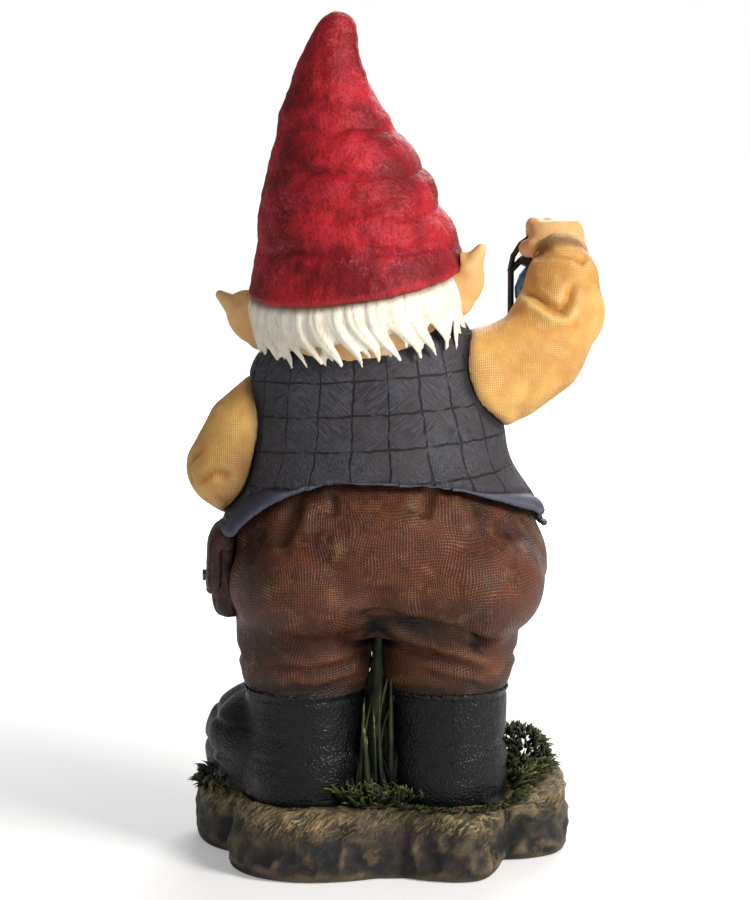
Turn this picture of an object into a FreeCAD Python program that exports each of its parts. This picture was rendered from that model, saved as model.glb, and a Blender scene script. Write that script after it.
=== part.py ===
"""Garden gnome in cast resin, holding up a lantern: hollow castings bonded over steel pins.

Frame: millimetres, origin on the ground under the middle of the stone base, +Z up.
The gnome faces -Y, so its left side is +X and its back is +Y.
"""

import FreeCAD, Part

import math
import os

V = FreeCAD.Vector
OUT = "parts"

# Driving dimensions
WALL = 5.0  # wall of the hollow castings
SHELL = 3.0  # wall of the vest and the hat brim
GLUE_GAP = 0.15  # room for adhesive round each steel pin
GROUND_PLATE = 3.0  # thickness of the plate that closes the base
STONE_TOP = 33.0  # top of the stones, where the boots stand
BOOT_SINK = 2.5  # how far a boot is let into the stones
BOOT_TOP = 86.5
LEG_X = {1: 34.3, -1: -31.8}  # the left leg and the right one
LEG_Y = 13.0
WAIST = 192.0
SHOULDER = 254.0
HEAD = V(9.5, -5.0, 258.0)  # centre of the skull
HEAD_TILT = 11.0  # degrees about +Y: the left ear sits lower
HEAD_TURN = -10.0  # degrees about +Z: the face looks towards the lantern
SKULL = (46.0, 46.0, 50.0)
BRIM_Z = 264.5  # lower edge of the hat at the back
TIP_Z = 392.5
LEG_ROD_R = 4.0
ARM_PIN_R = 3.0
WRIST_PIN_R = 2.0
EAR_PIN_R = 1.2
NECK_PIN_R = 5.0
RING_POINTS = 20  # places that fix each outline


# ---------------------------------------------------------------- helpers
def signed_power(value, exponent):
    return math.copysign(abs(value) ** exponent, value)


def ring(z, x, y, rx, back, front=None, tilt=0.0, power=2.0, rise=0.0):
    """A closed smooth outline: half-width rx, depth back towards +Y and front towards -Y.

    tilt lowers the +X side, power squares the corners and rise lifts the front.
    """
    front = back if front is None else front
    lean = math.radians(tilt)
    points = []
    for i in range(RING_POINTS):
        a = 2 * math.pi * i / RING_POINTS
        across = rx * signed_power(math.cos(a), 2 / power)
        deep = (back if math.sin(a) > 0 else front) * signed_power(math.sin(a), 2 / power)
        lift = rise * (1 - math.sin(a)) / 2
        points.append(V(x + across * math.cos(lean), y + deep, z + lift - across * math.sin(lean)))
    curve = Part.BSplineCurve()
    curve.interpolate(Points=points, PeriodicFlag=True)
    return Part.Wire(curve.toShape())


def loft(rings):
    """A smooth solid through closed outlines given from the bottom up."""
    return Part.makeLoft([ring(*r) if isinstance(r, tuple) else ring(**r) for r in rings], True, False)


def shrink(rings, by, low=0.0, high=TIP_Z):
    """The same outlines drawn in by a wall thickness, keeping those between two heights."""
    kept = [r for r in rings if low <= r[0] <= high]
    return [(z, x, y, rx - by, back - by, front - by, *lean) for z, x, y, rx, back, front, *lean in kept]


def ball(x, y, z, r):
    return Part.makeSphere(r, V(x, y, z))


def egg(x, y, z, rx, ry, rz, turn=0.0, axis=V(0, 0, 1)):
    """An ellipsoid, turned in degrees about an axis through its centre."""
    m = FreeCAD.Matrix()
    m.scale(rx, ry, rz)
    shape = Part.makeSphere(1.0).transformGeometry(m)
    shape.rotate(V(0, 0, 0), axis, turn)
    shape.translate(V(x, y, z))
    return shape


def join(shapes):
    """One solid from overlapping ones."""
    whole = shapes[0].multiFuse(shapes[1:]) if len(shapes) > 1 else shapes[0]
    return biggest(whole)


def biggest(shape):
    """The largest solid of a result, which drops slivers that a cut leaves behind."""
    solids = sorted(shape.Solids, key=lambda s: s.Volume)
    return solids[-1]


def cone_between(a, ra, b, rb):
    along = b - a
    if abs(ra - rb) < 1e-6:
        return Part.makeCylinder(ra, along.Length, a, along)
    return Part.makeCone(ra, rb, along.Length, a, along)


def limb(stations):
    """A rounded limb through (x, y, z, radius) stations."""
    shapes = []
    for i, (x, y, z, r) in enumerate(stations):
        shapes.append(ball(x, y, z, r))
        if i:
            px, py, pz, pr = stations[i - 1]
            shapes.append(cone_between(V(px, py, pz), pr, V(x, y, z), r))
    return join(shapes)


def rod(start, end, r):
    return Part.makeCylinder(r, (end - start).Length, start, end - start)


def pins(ends, r):
    """Steel pins between pairs of points, and the slightly larger bores they are bonded into."""
    steel = {key: rod(a, b, r) for key, (a, b) in ends.items()}
    bores = {}
    for key, (a, b) in ends.items():
        spare = (b - a).normalize() * GLUE_GAP
        bores[key] = rod(a - spare, b + spare, r + GLUE_GAP)
    return steel, bores


def rounded_box(x, y, z, dx, dy, dz, r):
    """A box with rounded edges, centred on a point."""
    box = Part.makeBox(dx, dy, dz, V(x - dx / 2, y - dy / 2, z - dz / 2))
    return box.makeFillet(r, box.Edges)


def tilt_with_head(shape):
    turned = shape.copy()
    turned.rotate(HEAD, V(0, 0, 1), HEAD_TURN)
    turned.rotate(HEAD, V(0, 1, 0), HEAD_TILT)
    return turned


def cut(shape, *tools):
    for tool in tools:
        shape = shape.cut(tool)
    return biggest(shape)


# ---------------------------------------------------------------- stone base
def rock(x, y, rx, ry, top, phase):
    """One flat field stone: an uneven outline, full at the foot and rounded over the top."""
    levels = ((0.0, 0.95), (0.22, 1.0), (0.5, 0.99), (0.75, 0.96), (0.92, 0.89), (1.0, 0.75))
    wires = []
    for share, size in levels:
        points = []
        for i in range(18):
            a = 2 * math.pi * i / 18
            uneven = 1 + 0.035 * math.sin(3 * a + phase) + 0.025 * math.sin(5 * a + 2 * phase)
            across = rx * size * uneven * signed_power(math.cos(a), 0.8)
            deep = ry * size * uneven * signed_power(math.sin(a), 0.8)
            points.append(V(x + across, y + deep, top * share))
        curve = Part.BSplineCurve()
        curve.interpolate(Points=points, PeriodicFlag=True)
        wires.append(Part.Wire(curve.toShape()))
    return Part.makeLoft(wires, True, False)


def stones():
    """The base casting before it is hollowed: six stones set close round a low core."""
    return join(
        [
            loft([(0, 0, -4, 64, 50, 54), (20, 0, -4, 64, 50, 54), (STONE_TOP - 1, 0, -4, 58, 44, 48)]),
            rock(29, 15, 39, 40, STONE_TOP, 0.4),
            rock(-30, 17, 29, 36, STONE_TOP, 2.1),
            rock(-66, -19, 24, 35, STONE_TOP + 1, 4.0),
            rock(50, -28, 36, 37, STONE_TOP, 1.2),
            rock(-2, -42, 34, 32, STONE_TOP - 1, 3.3),
            rock(-50, -38, 30, 30, STONE_TOP, 5.2),
        ]
    )


def base_hollow():
    return loft([(GROUND_PLATE, 0, -4, 55, 38, 44), (16, 0, -4, 54, 37, 43), (23, 0, -4, 47, 31, 37)])


def plate_body():
    outline = Part.Face(ring(0, 0, -4, 59.6, 41.6, 47.6)).extrude(V(0, 0, GROUND_PLATE))
    vent = Part.makeCylinder(4.0, 20, V(0, -24, -5))
    return cut(outline, vent)


def seat_recess():
    return Part.Face(ring(-1, 0, -4, 60, 42, 48)).extrude(V(0, 0, GROUND_PLATE + 1))


# ---------------------------------------------------------------- boots
def boot(side):
    """A calf-high boot: side is +1 for the left, whose toe turns out, and -1 for the right."""
    x = LEG_X[side]
    bottom = STONE_TOP - BOOT_SINK
    shaft = loft(
        [
            (bottom, x, LEG_Y, 27.0, 27.5, 27.5),
            (bottom + 12, x, LEG_Y, 27.8, 28.5, 28.0),
            (bottom + 32, x, LEG_Y, 27.3, 27.5, 27.0),
            (BOOT_TOP, x, LEG_Y, 28.3, 28.0, 28.0),
        ]
    )
    if side > 0:
        toe = egg(x + 18.5, -14, bottom + 18, 28.5, 39, 30.5, 24)
        foot = join([toe, egg(x + 18, 0, bottom + 25, 27.5, 26, 24.5, 20)])
    else:
        foot = egg(x - 3, -22, bottom + 13, 25.5, 38, 25, -6)
    whole = join([shaft, foot])
    floor = Part.makeBox(300, 300, 60, V(-150, -150, bottom - 60))
    return cut(whole, floor)


# ---------------------------------------------------------------- trousers
HIPS = [
    (109, -2.0, 0, 58, 42, 38),
    (114, -2.0, 0, 68, 50, 48),
    (123, -3.0, 0, 71.5, 57, 55),
    (137, -4.5, 0, 73, 61.5, 60),
    (152, -4.0, 0, 71.5, 60, 62),
    (167, -2.5, 0, 66, 54, 61),
    (180, -1.0, 0, 59.5, 45.5, 57),
    (WAIST, 0.0, 0, 55, 39.5, 53),
]


def leg(side):
    x = LEG_X[side]
    return loft(
        [
            (BOOT_TOP - 4, x, LEG_Y, 25.5, 25.5, 25.5),
            (BOOT_TOP + 3, x, LEG_Y, 30.0, 28.8, 28.8),
            (102, x - 0.5, LEG_Y - 2, 32, 32, 33),
            (118, x - side * 2 - 1, LEG_Y - 6, 34, 39, 38),
            (134, x - side * 7 - 4, LEG_Y - 9, 31, 36, 38),
        ]
    )


def trousers_solid():
    return join(
        [
            loft(HIPS),
            leg(1),
            leg(-1),
            egg(29, 19, 134, 40, 43, 31),
            egg(-36, 19, 135, 41, 44, 32),
        ]
    )


def trousers_hollow():
    return loft(shrink(HIPS, WALL, 118, 200) + [(WAIST + 5, 0.0, 0, 49.5, 34, 47.5)])


# ---------------------------------------------------------------- shirt and vest
TORSO = [
    (176, 0.0, 0, 48, 33.5, 46),
    (WAIST, 1.0, 0, 49.7, 34.2, 47.7),
    (205, 2.0, 0, 54.5, 38, 51),
    (220, 4.0, 0, 52, 35.5, 46.5),
    (236, 6.5, 0, 46.5, 32.5, 38.5),
    (247, 7.5, 0, 36, 27, 30),
    (254, 8.5, -2, 25, 21, 23),
    (260, 9.0, -3, 21, 19, 20),
]
VEST = [
    (156, -2.0, 0, 75.5, 67, 66),
    (163, -2.0, 0, 73, 64, 66.5),
    (172, -2.0, 0, 68.5, 58.5, 66),
    (184, 0.0, 0, 62.5, 50, 62),
    (200, 1.5, 0, 60, 43.5, 58),
    (220, 4.0, 0, 56.5, 39.5, 50.5),
    (238, 6.5, 0, 51, 36.5, 43, 4),
    (248, 7.0, 0, 44, 32, 35.5, 8),
    (SHOULDER, 7.5, 0, 35, 27, 28, 9),
]


def torso_solid():
    return loft(TORSO)


def vest_solid():
    return loft(VEST)


HEM = [  # (x, z) along the lower edge of the vest's back
    (-90, 140),
    (-77, 160),
    (-70, 166.5),
    (-55, 173),
    (-38, 179),
    (0, 183),
    (34, 180),
    (49, 172),
    (62, 161),
    (71, 148),
    (80, 135),
]


def hem_arch():
    """What the raised back hem leaves open: the flat-topped space under the vest's back."""
    curve = Part.BSplineCurve()
    curve.interpolate(Points=[V(x, -2, z) for x, z in HEM])
    ends = [V(HEM[-1][0], -2, 100), V(HEM[0][0], -2, 100)]
    sides = Part.makePolygon([curve.EndPoint, *ends, curve.StartPoint])
    outline = Part.Wire([curve.toShape(), *sides.Edges])
    return Part.Face(outline).extrude(V(0, 140, 0))


def front_opening():
    """The wedge where the unbuttoned fronts part, narrow at the chest and wide at the hem."""
    corners = [(-24, 150), (26, 150), (13, 212), (32, 262), (-16, 262), (4, 212), (-24, 150)]
    face = Part.Face(Part.makePolygon([V(x, -100, z) for x, z in corners]))
    return face.extrude(V(0, 90, 0))


def armhole(side):
    """The round cutter of one armhole; the sleeve passes through it."""
    if side > 0:
        return egg(62, -2, 208, 15, 21, 26, 35, V(0, 1, 0))
    return egg(-56, -3, 228, 15, 20.5, 24, -12, V(0, 1, 0))


# ---------------------------------------------------------------- arms
SLEEVE_LEFT = [
    (44, -2, 213, 20.5),
    (60.5, 1, 199.5, 20),
    (69.3, 1, 183.5, 19.8),
    (67, -22, 175.5, 17.5),
    (63, -40, 174, 14),
]
SLEEVE_RIGHT = [
    (-44, -2, 223, 25),
    (-59.3, -4.2, 227.7, 22.9),
    (-74.6, -8.3, 236.9, 21.6),
    (-84.1, -13.4, 254.3, 20.9),
    (-85.6, -21.2, 268.2, 17.4),
    (-85, -28, 276.5, 13.5),
]
CUFF_LEFT = (V(63, -42, 174), V(60.5, -54, 173.5), 13.5)
CUFF_RIGHT = (V(-85.4, -25, 274), V(-85.0, -35, 279.3), 13.0)


def turned(profile):
    """A solid of revolution about Z from (radius, height) points; the profile starts and ends on the axis."""
    wire = Part.makePolygon([V(r, 0, z) for r, z in profile] + [V(profile[0][0], 0, profile[0][1])])
    return biggest(Part.Face(wire).revolve(V(0, 0, 0), V(0, 0, 1), 360))


def cuff(start, end, r):
    """A turned-back shirt cuff: a short sleeve end with rounded edges."""
    length = (end - start).Length
    soft = 1.8
    profile = [(0, 0), (r - soft, 0), (r, soft), (r + 0.4, length - soft), (r - soft, length), (0, length)]
    body = turned(profile)
    body.Placement = FreeCAD.Placement(start, FreeCAD.Rotation(V(0, 0, 1), end - start))
    return body


def hand_left_solid():
    """The left hand, laid flat on the front of the belly."""
    shapes = [egg(53, -60, 174, 9.5, 10, 13, 20), egg(58, -55, 173.5, 9, 9, 10)]
    for i in range(4):
        z = 183 - 6.0 * i
        reach = (0, 3, 2, -2)[i]
        shapes.append(limb([(50, -64, z, 4.0), (41, -69, z - 0.5, 3.8), (33 - reach, -70.5, z - 1.0, 3.4)]))
    shapes.append(limb([(55, -61, 183, 4.2), (48, -64, 190, 3.9), (42, -66, 194, 3.5)]))
    return join(shapes)


def hand_right_solid():
    """The right fist: knuckles to the front, fingers curled down round the lantern's handle."""
    palm = loft(
        [
            (270, -84.6, -34, 8, 7, 7),
            (275.5, -84.6, -37, 11.5, 9.5, 10),
            (282.5, -84.1, -40, 13, 11.5, 12),
            (289.5, -83.6, -42, 13, 9.5, 11),
            (294.5, -83.6, -43.5, 10.5, 5.5, 7),
        ]
    )
    shapes = [palm]
    for i in range(4):
        x = -73.6 - 6.4 * i
        r = (3.9, 4.1, 4.0, 3.6)[i]
        shapes.append(
            limb(
                [
                    (x, -45, 292.0 - 0.4 * i, r),
                    (x, -53, 291.5 - 0.6 * i, r),
                    (x, -55.5, 285.5 - 0.4 * i, r - 0.3),
                    (x, -50, 282.0 - 0.2 * i, r - 0.6),
                ]
            )
        )
    shapes.append(limb([(-73.6, -37, 282.5, 4.6), (-70.1, -44, 281.0, 4.2), (-73.6, -51, 279.0, 3.7)]))
    return join(shapes)


# ---------------------------------------------------------------- lantern
LANTERN_X = -79.0
LANTERN_Y = -56.0
LANTERN_FOOT = 236.5


def lantern(profile):
    shape = turned(profile)
    shape.translate(V(LANTERN_X, LANTERN_Y, LANTERN_FOOT))
    return shape


def lantern_base():
    """The oil tank with a socket for the globe."""
    outer = [(0, 0), (13.6, 0), (14.6, 1.6), (14.2, 6.5), (11.0, 9.5), (11.0, 12.0)]
    socket = [(9.6, 12.0), (9.6, 10.0), (0, 10.0)]
    return lantern(outer + socket)


def lantern_globe():
    """A round glass chimney, open at both ends."""
    outer = [(9.4, 10.2), (11.6, 14), (14.0, 20), (14.2, 25), (12.0, 31), (8.8, 35.0)]
    inner = [(r - 1.2, z) for r, z in reversed(outer)]
    return lantern(outer + inner)


def lantern_cap():
    """The domed vent cap over the chimney."""
    plug = [(0, 34.0), (7.0, 34.0), (7.0, 35.2), (10.4, 35.2)]
    dome = [(12.4, 36.4), (11.6, 39.6), (8.6, 42.6), (4.6, 44.2), (0, 44.6)]
    return lantern(plug + dome)


def lantern_frame():
    """Two side tubes from tank to cap, standing left and right of the globe."""
    tubes = []
    for side in (1, -1):
        x = LANTERN_X + side * 16.0
        foot = V(LANTERN_X + side * 13.2, LANTERN_Y, LANTERN_FOOT + 5.0)
        low = V(x, LANTERN_Y, LANTERN_FOOT + 11.0)
        high = V(x, LANTERN_Y, LANTERN_FOOT + 33.0)
        top = V(LANTERN_X + side * 11.0, LANTERN_Y, LANTERN_FOOT + 38.2)
        tubes.append(limb([(p.x, p.y, p.z, 1.5) for p in (foot, low, high, top)]))
    return tubes


def lantern_bail():
    """The wire handle, hooked on the side tubes and carried up through the fist."""
    low, rise = LANTERN_FOOT + 33.0, 18.5
    path = []
    for i in range(9):
        a = math.pi * i / 8
        x = LANTERN_X + 16.4 * math.cos(a)
        path.append((x, LANTERN_Y + 6.5 * math.sin(a), low + rise * math.sin(a), 1.3))
    return limb(path)


def lantern_candle():
    return lantern([(0, 10.0), (4.2, 10.0), (4.2, 21.0), (3.4, 21.8), (0.7, 21.8), (0.7, 24.5), (0, 24.5)])


# ---------------------------------------------------------------- head
def skull_solid():
    return egg(HEAD.x, HEAD.y, HEAD.z, *SKULL)


def head_solid():
    """Skull, cheeks, brow and nose, upright."""
    x = HEAD.x
    return join(
        [
            skull_solid(),
            egg(x, -17, 240, 33, 31, 22),
            egg(x + 17, -39, 247, 12.5, 11.5, 11),
            egg(x - 17, -39, 247, 12.5, 11.5, 11),
            egg(x, -40, 265, 27, 11, 7),
            egg(x, -53, 248, 9.5, 11, 9),
            egg(x + 7.5, -50, 246, 5.5, 6, 5.5),
            egg(x - 7.5, -50, 246, 5.5, 6, 5.5),
            egg(x, -44, 235, 10, 6, 4),
        ]
    )


def ear(side):
    """A leaf-shaped ear with a short point, hollowed in front."""
    x = HEAD.x + side * 49
    shell = join(
        [
            egg(x, -1, 261.5, 11.5, 6.4, 14, side * 30, V(0, 1, 0)),
            limb([(x + side * 5, -1, 265.5, 6.8), (x + side * 13, -0.5, 274.5, 2.5)]),
            egg(x - side * 2, -1, 254, 7.5, 5.8, 8.5),
        ]
    )
    bowl = egg(x + side * 4.5, -8.8, 265.5, 6.8, 5.2, 10.5, side * 30, V(0, 1, 0))
    return cut(shell, bowl)


def ear_pin(side):
    """The wire that holds an ear to the head."""
    return rod(V(HEAD.x + side * 38, -1, 257), V(HEAD.x + side * 53, -1, 259), EAR_PIN_R)


def hair_solid():
    """The fringe of hair round the nape from ear to ear, below the hat."""
    x, y = HEAD.x, HEAD.y
    band = loft(
        [
            (243, x, y, 38, 38, 38),
            (246, x, y, 45, 45, 45),
            (252, x, y, 48.6, 49.0, 48),
            (260, x, y, 49.0, 49.6, 48),
            (268, x, y, 47.8, 48, 47),
            (278, x, y, 43.5, 43.5, 43.5),
        ]
    )
    front = Part.makeBox(200, 100, 100, V(x - 100, y - 89, 200))
    return cut(band, front)


def beard_solid():
    x = HEAD.x
    return join(
        [
            egg(x, -44, 232, 34, 17, 18),
            egg(x, -51, 216, 27, 14.5, 22),
            egg(x - 1, -56, 200, 15, 11, 18),
            egg(x + 30, -30, 242, 11, 17, 15),
            egg(x - 30, -30, 242, 11, 17, 15),
        ]
    )


def moustache_solid():
    x = HEAD.x
    halves = []
    for side in (1, -1):
        halves.append(
            limb(
                [
                    (x + side * 4, -60, 240.5, 5.4),
                    (x + side * 14, -60, 238.0, 6.0),
                    (x + side * 23, -56, 234.5, 4.8),
                    (x + side * 30, -51, 235.5, 2.6),
                ]
            )
        )
    return join(halves + [ball(x, -59, 240.5, 5.0)])


def brow(side):
    """A bushy eyebrow in two tufts."""
    x = HEAD.x
    inner = egg(x + side * 12, -50, 265.5, 6.5, 4.2, 3.4, side * 10, V(0, 1, 0))
    outer = egg(x + side * 21, -46, 265.5, 6.5, 4.0, 3.0, side * -14, V(0, 1, 0))
    return join([inner, outer])


def eye(side):
    return ball(HEAD.x + side * 14.0, -44.5, 256.5, 5.4)


HAT = [
    dict(z=BRIM_Z, x=9.9, y=-2.6, rx=48.6, back=48.6, tilt=8, rise=11),
    dict(z=BRIM_Z + 3, x=10.0, y=-2.5, rx=49.4, back=49.2, tilt=8, rise=11),
    dict(z=BRIM_Z + 10, x=10.4, y=-2.8, rx=48.4, back=48.1, tilt=8.5, rise=9.5),
    dict(z=286, x=11.6, y=-3.2, rx=45.4, back=45.8, tilt=8.5, rise=7),
    dict(z=299, x=13.8, y=-3.5, rx=41.8, back=43, tilt=7, rise=4),
    dict(z=314, x=15.0, y=-3, rx=38.2, back=38.7, tilt=5, rise=2),
    dict(z=328, x=17.0, y=-2.5, rx=32.3, back=32.8, tilt=3),
    dict(z=341, x=19.6, y=-2, rx=26.3, back=26.5, tilt=1),
    dict(z=355, x=21.6, y=-1.5, rx=20.4, back=20.4, tilt=-2),
    dict(z=368, x=21.8, y=-1, rx=15.0, back=15.0, tilt=-5),
    dict(z=381, x=20.0, y=-0.5, rx=10.8, back=10.8, tilt=-8),
    dict(z=389, x=18.2, y=0, rx=7.2, back=7.2, tilt=-8),
    dict(z=TIP_Z - 0.4, x=17.6, y=0, rx=2.6, back=2.6, tilt=-8),
]


def hat_hollow():
    """The room inside the hat: a seat that takes the head, and a narrowing space above it."""
    return loft(
        [
            dict(z=BRIM_Z - 8, x=9.8, y=-2.6, rx=44.6, back=44.4, tilt=8, rise=11),
            dict(z=BRIM_Z + 9, x=10.2, y=-2.8, rx=44.0, back=43.8, tilt=8, rise=10),
            dict(z=285, x=11.4, y=-3.4, rx=40.6, back=40.8, tilt=8.5, rise=7),
            dict(z=315, x=15.0, y=-3, rx=31.0, back=31.0, tilt=5),
            dict(z=341, x=19.6, y=-2, rx=20.0, back=20.0, tilt=1),
            dict(z=362, x=21.6, y=-1.5, rx=11.0, back=11.0, tilt=-2),
        ]
    )


# ---------------------------------------------------------------- pouch, belt, small parts
POUCH = V(68.8, -4.0, 135.0)


def pouch_bag():
    """A belt pouch that narrows towards the bottom."""
    x, y, z = POUCH
    return loft(
        [
            (z - 21, x + 0.2, y, 5.0, 11, 11, 0, 2.6),
            (z - 18, x + 0.6, y, 7.0, 15, 15, 0, 2.8),
            (z - 9, x + 1.2, y, 7.8, 17, 17, 0, 3.0),
            (z + 7, x + 1.6, y, 7.4, 17, 17, 0, 3.0),
            (z + 16, x + 1.6, y, 6.2, 16, 16, 0, 2.8),
            (z + 19, x + 1.4, y, 4.2, 14, 14, 0, 2.6),
        ]
    )


def pouch_lid():
    """The flap: a strap of leather over the top and down the outside."""
    x, y, z = POUCH
    outer = loft(
        [
            (z - 10, x + 3.0, y, 8.4, 14, 14, 0, 3.0),
            (z - 5, x + 3.0, y, 8.6, 18, 18, 0, 3.4),
            (z + 9, x + 2.6, y, 8.6, 18.6, 18.6, 0, 3.4),
            (z + 18, x + 1.8, y, 7.8, 18, 18, 0, 3.2),
            (z + 21.5, x + 1.4, y, 5.0, 15, 15, 0, 2.8),
        ]
    )
    inner_side = Part.makeBox(30, 80, 25, V(x - 26, y - 40, z - 13))
    return cut(outer, inner_side)


def belt_band():
    """The belt across the front, in the gap between the open vest fronts."""
    rings = [(z, x, y, rx + 2.2, back + 2.2, front + 2.4) for z, x, y, rx, back, front in HIPS]
    outer = loft(rings)
    slab = Part.makeBox(200, 100, 12.5, V(-100, -100, 169))
    return biggest(outer.common(slab))


def buckle():
    frame = rounded_box(1.0, -62.2, 175.2, 19, 4.0, 17, 1.4)
    window = rounded_box(1.0, -62.2, 175.2, 11.5, 12.0, 9.5, 1.2)
    tongue = rod(V(-8, -63.6, 175.2), V(7.5, -64.2, 175.2), 1.1)
    return join([frame.cut(window), tongue])


def vest_button(x, z):
    """A domed button standing on the left front edge of the vest."""
    y = vest_front(x, z)
    dome = Part.makeCylinder(3.6, 2.6, V(x, y + 0.9, z), V(0, -1, 0))
    return dome.makeFillet(1.0, [e for e in dome.Edges if e.BoundBox.YMax < y - 1.5])


def vest_front(x, z):
    """The y of the vest's outer face at a place on its front."""
    line = Part.makeLine(V(x, -120, z), V(x, -10, z))
    return min(v.Point.y for v in line.common(vest_solid()).Vertexes)


def save(name, shape):
    """One STEP per node, checked to be closed and sound."""
    if not shape.isValid() or shape.Volume <= 0:
        print("WEAK", name, "valid", shape.isValid(), "volume", round(shape.Volume, 1))
    print(f"{name}: {len(shape.Solids)} solid(s), {shape.Volume / 1000:.2f} cm3")
    shape.exportStep(os.path.join(OUT, name + ".step"))


# ---------------------------------------------------------------- assembly
def main():
    os.makedirs(OUT, exist_ok=True)

    # Steel pins, and the holes they need
    leg_ends = {s: (V(LEG_X[s], LEG_Y, 8), V(LEG_X[s], LEG_Y, 128)) for s in (1, -1)}
    arm_ends = {1: (V(34, -1, 219), V(60, 1, 195)), -1: (V(-30, -2, 220), V(-66, -5, 227))}
    wrist_ends = {1: (V(65, -30, 174), V(57, -58, 173.5)), -1: (V(-85.6, -20, 271.8), V(-84.7, -41, 282.3))}
    leg_rods, leg_bores = pins(leg_ends, LEG_ROD_R)
    arm_pins, arm_bores = pins(arm_ends, ARM_PIN_R)
    wrist_pins, wrist_bores = pins(wrist_ends, WRIST_PIN_R)
    neck_pins, neck_bores = pins({0: (V(8.5, -3, 240), V(8.5, -3, 268))}, NECK_PIN_R)

    # Base and boots
    boots = {s: boot(s) for s in (1, -1)}
    base = cut(stones(), seat_recess(), base_hollow())
    bosses = [rod(V(LEG_X[s], LEG_Y, 5), V(LEG_X[s], LEG_Y, 26), 9) for s in (1, -1)]
    base = join([base] + bosses)
    base = cut(base, boots[1], boots[-1], *leg_bores.values())
    save("stone_base", base)
    save("base_plate", plate_body())

    # Trousers over the boots
    trousers_full = trousers_solid()
    for side, name in ((1, "left"), (-1, "right")):
        save("boot_" + name, cut(boots[side], trousers_full, leg_bores[side]))
        save("leg_rod_" + name, leg_rods[side])
    save("trousers", cut(trousers_full, trousers_hollow(), *leg_bores.values()))

    # Grass round the boots and the clump between them
    mat = loft(
        [
            (24, 0, -8, 66, 43, 50),
            (30, 0, -8, 72, 45, 54),
            (36, 0, -8, 69, 44, 52),
            (39, 0, -8, 60, 38, 44),
        ]
    )
    mat = join([mat, egg(-65, -26, 34, 17, 25, 21), egg(74, -10, 32, 11, 17, 10)])
    save("grass_mat", cut(mat, base, *boots.values()))
    clump = loft(
        [
            (STONE_TOP - 6, 0, 14, 6.5, 13, 13),
            (60, 0.5, 15, 6.2, 11, 11),
            (92, 0, 16, 5.0, 8, 8),
            (114, -1, 17, 3.0, 5, 5),
        ]
    )
    save("grass_clump", cut(clump, base, mat, trousers_full, *boots.values()))

    # Shirt body and vest
    torso_full = torso_solid()
    torso_hollow = loft(shrink(TORSO, WALL, 176, 237))
    torso = cut(torso_full, torso_hollow, neck_bores[0], *arm_bores.values())
    torso = cut(torso, trousers_full.cut(trousers_hollow()))
    save("shirt_body", torso)
    vest_full = vest_solid()
    vest = vest_full.cut(loft(shrink(VEST, SHELL))).cut(hem_arch()).cut(front_opening())
    vest = cut(vest, armhole(1), armhole(-1), torso_full, trousers_full)
    save("vest", vest)
    body_mass = [vest, torso_full, trousers_full]

    # Sleeves, cuffs and hands
    tank, globe, cap, bail = lantern_base(), lantern_globe(), lantern_cap(), lantern_bail()
    tubes = lantern_frame()
    hands = {1: hand_left_solid(), -1: hand_right_solid()}
    arms = ((1, "left", SLEEVE_LEFT, CUFF_LEFT), (-1, "right", SLEEVE_RIGHT, CUFF_RIGHT))
    for side, name, stations, ends in arms:
        cuff_full = cuff(*ends)
        sleeve = cut(limb(stations), *body_mass, cuff_full, arm_bores[side], wrist_bores[side])
        save("sleeve_" + name, sleeve)
        save("cuff_" + name, cut(cuff_full, *body_mass, wrist_bores[side]))
        save("hand_" + name, cut(hands[side], cuff_full, *body_mass, wrist_bores[side], cap, bail))
        save("arm_pin_" + name, arm_pins[side])
        save("wrist_pin_" + name, wrist_pins[side])
    save("lantern_base", cut(tank, *tubes))
    save("lantern_globe", globe)
    save("lantern_cap", cut(cap, *tubes, globe))
    save("lantern_frame", Part.makeCompound([cut(t, bail) for t in tubes]))
    save("lantern_bail", bail)
    save("lantern_candle", lantern_candle())

    # Head, tilted as one group
    head_full = tilt_with_head(head_solid())
    inside = tilt_with_head(egg(HEAD.x, HEAD.y, HEAD.z + 6, SKULL[0] - 6, SKULL[1] - 6, SKULL[2] - 10))
    boss = rod(V(8.5, -3, 230), V(8.5, -3, 272), NECK_PIN_R + WALL)
    eyes = [tilt_with_head(eye(s)) for s in (1, -1)]
    ears_full = [tilt_with_head(ear(s)) for s in (1, -1)]
    ear_pins = [tilt_with_head(ear_pin(s)) for s in (1, -1)]
    hat = cut(loft(HAT), hat_hollow())
    save("hat", hat)
    head = cut(head_full, hat, torso_full, vest, inside.cut(boss), neck_bores[0], *eyes, *ear_pins)
    save("head", head)
    save("eyes", Part.makeCompound(eyes))
    save("neck_pin", neck_pins[0])
    save("ear_pins", Part.makeCompound(ear_pins))
    hair = tilt_with_head(hair_solid())
    hair = cut(hair, head_full, hat, vest_full, torso_full, *ears_full, *ear_pins)
    save("hair_fringe", hair)
    for shape, name in zip(ears_full, ("left", "right")):
        save("ear_" + name, cut(shape, head_full, hat, hair, *ear_pins))
    moustache = tilt_with_head(moustache_solid())
    beard = tilt_with_head(beard_solid())
    save("beard", cut(beard, head_full, hat, vest_full, torso_full, moustache, *ears_full))
    save("moustache", cut(moustache, head_full))
    save("eyebrows", Part.makeCompound([cut(tilt_with_head(brow(s)), head_full, hat) for s in (1, -1)]))

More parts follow.
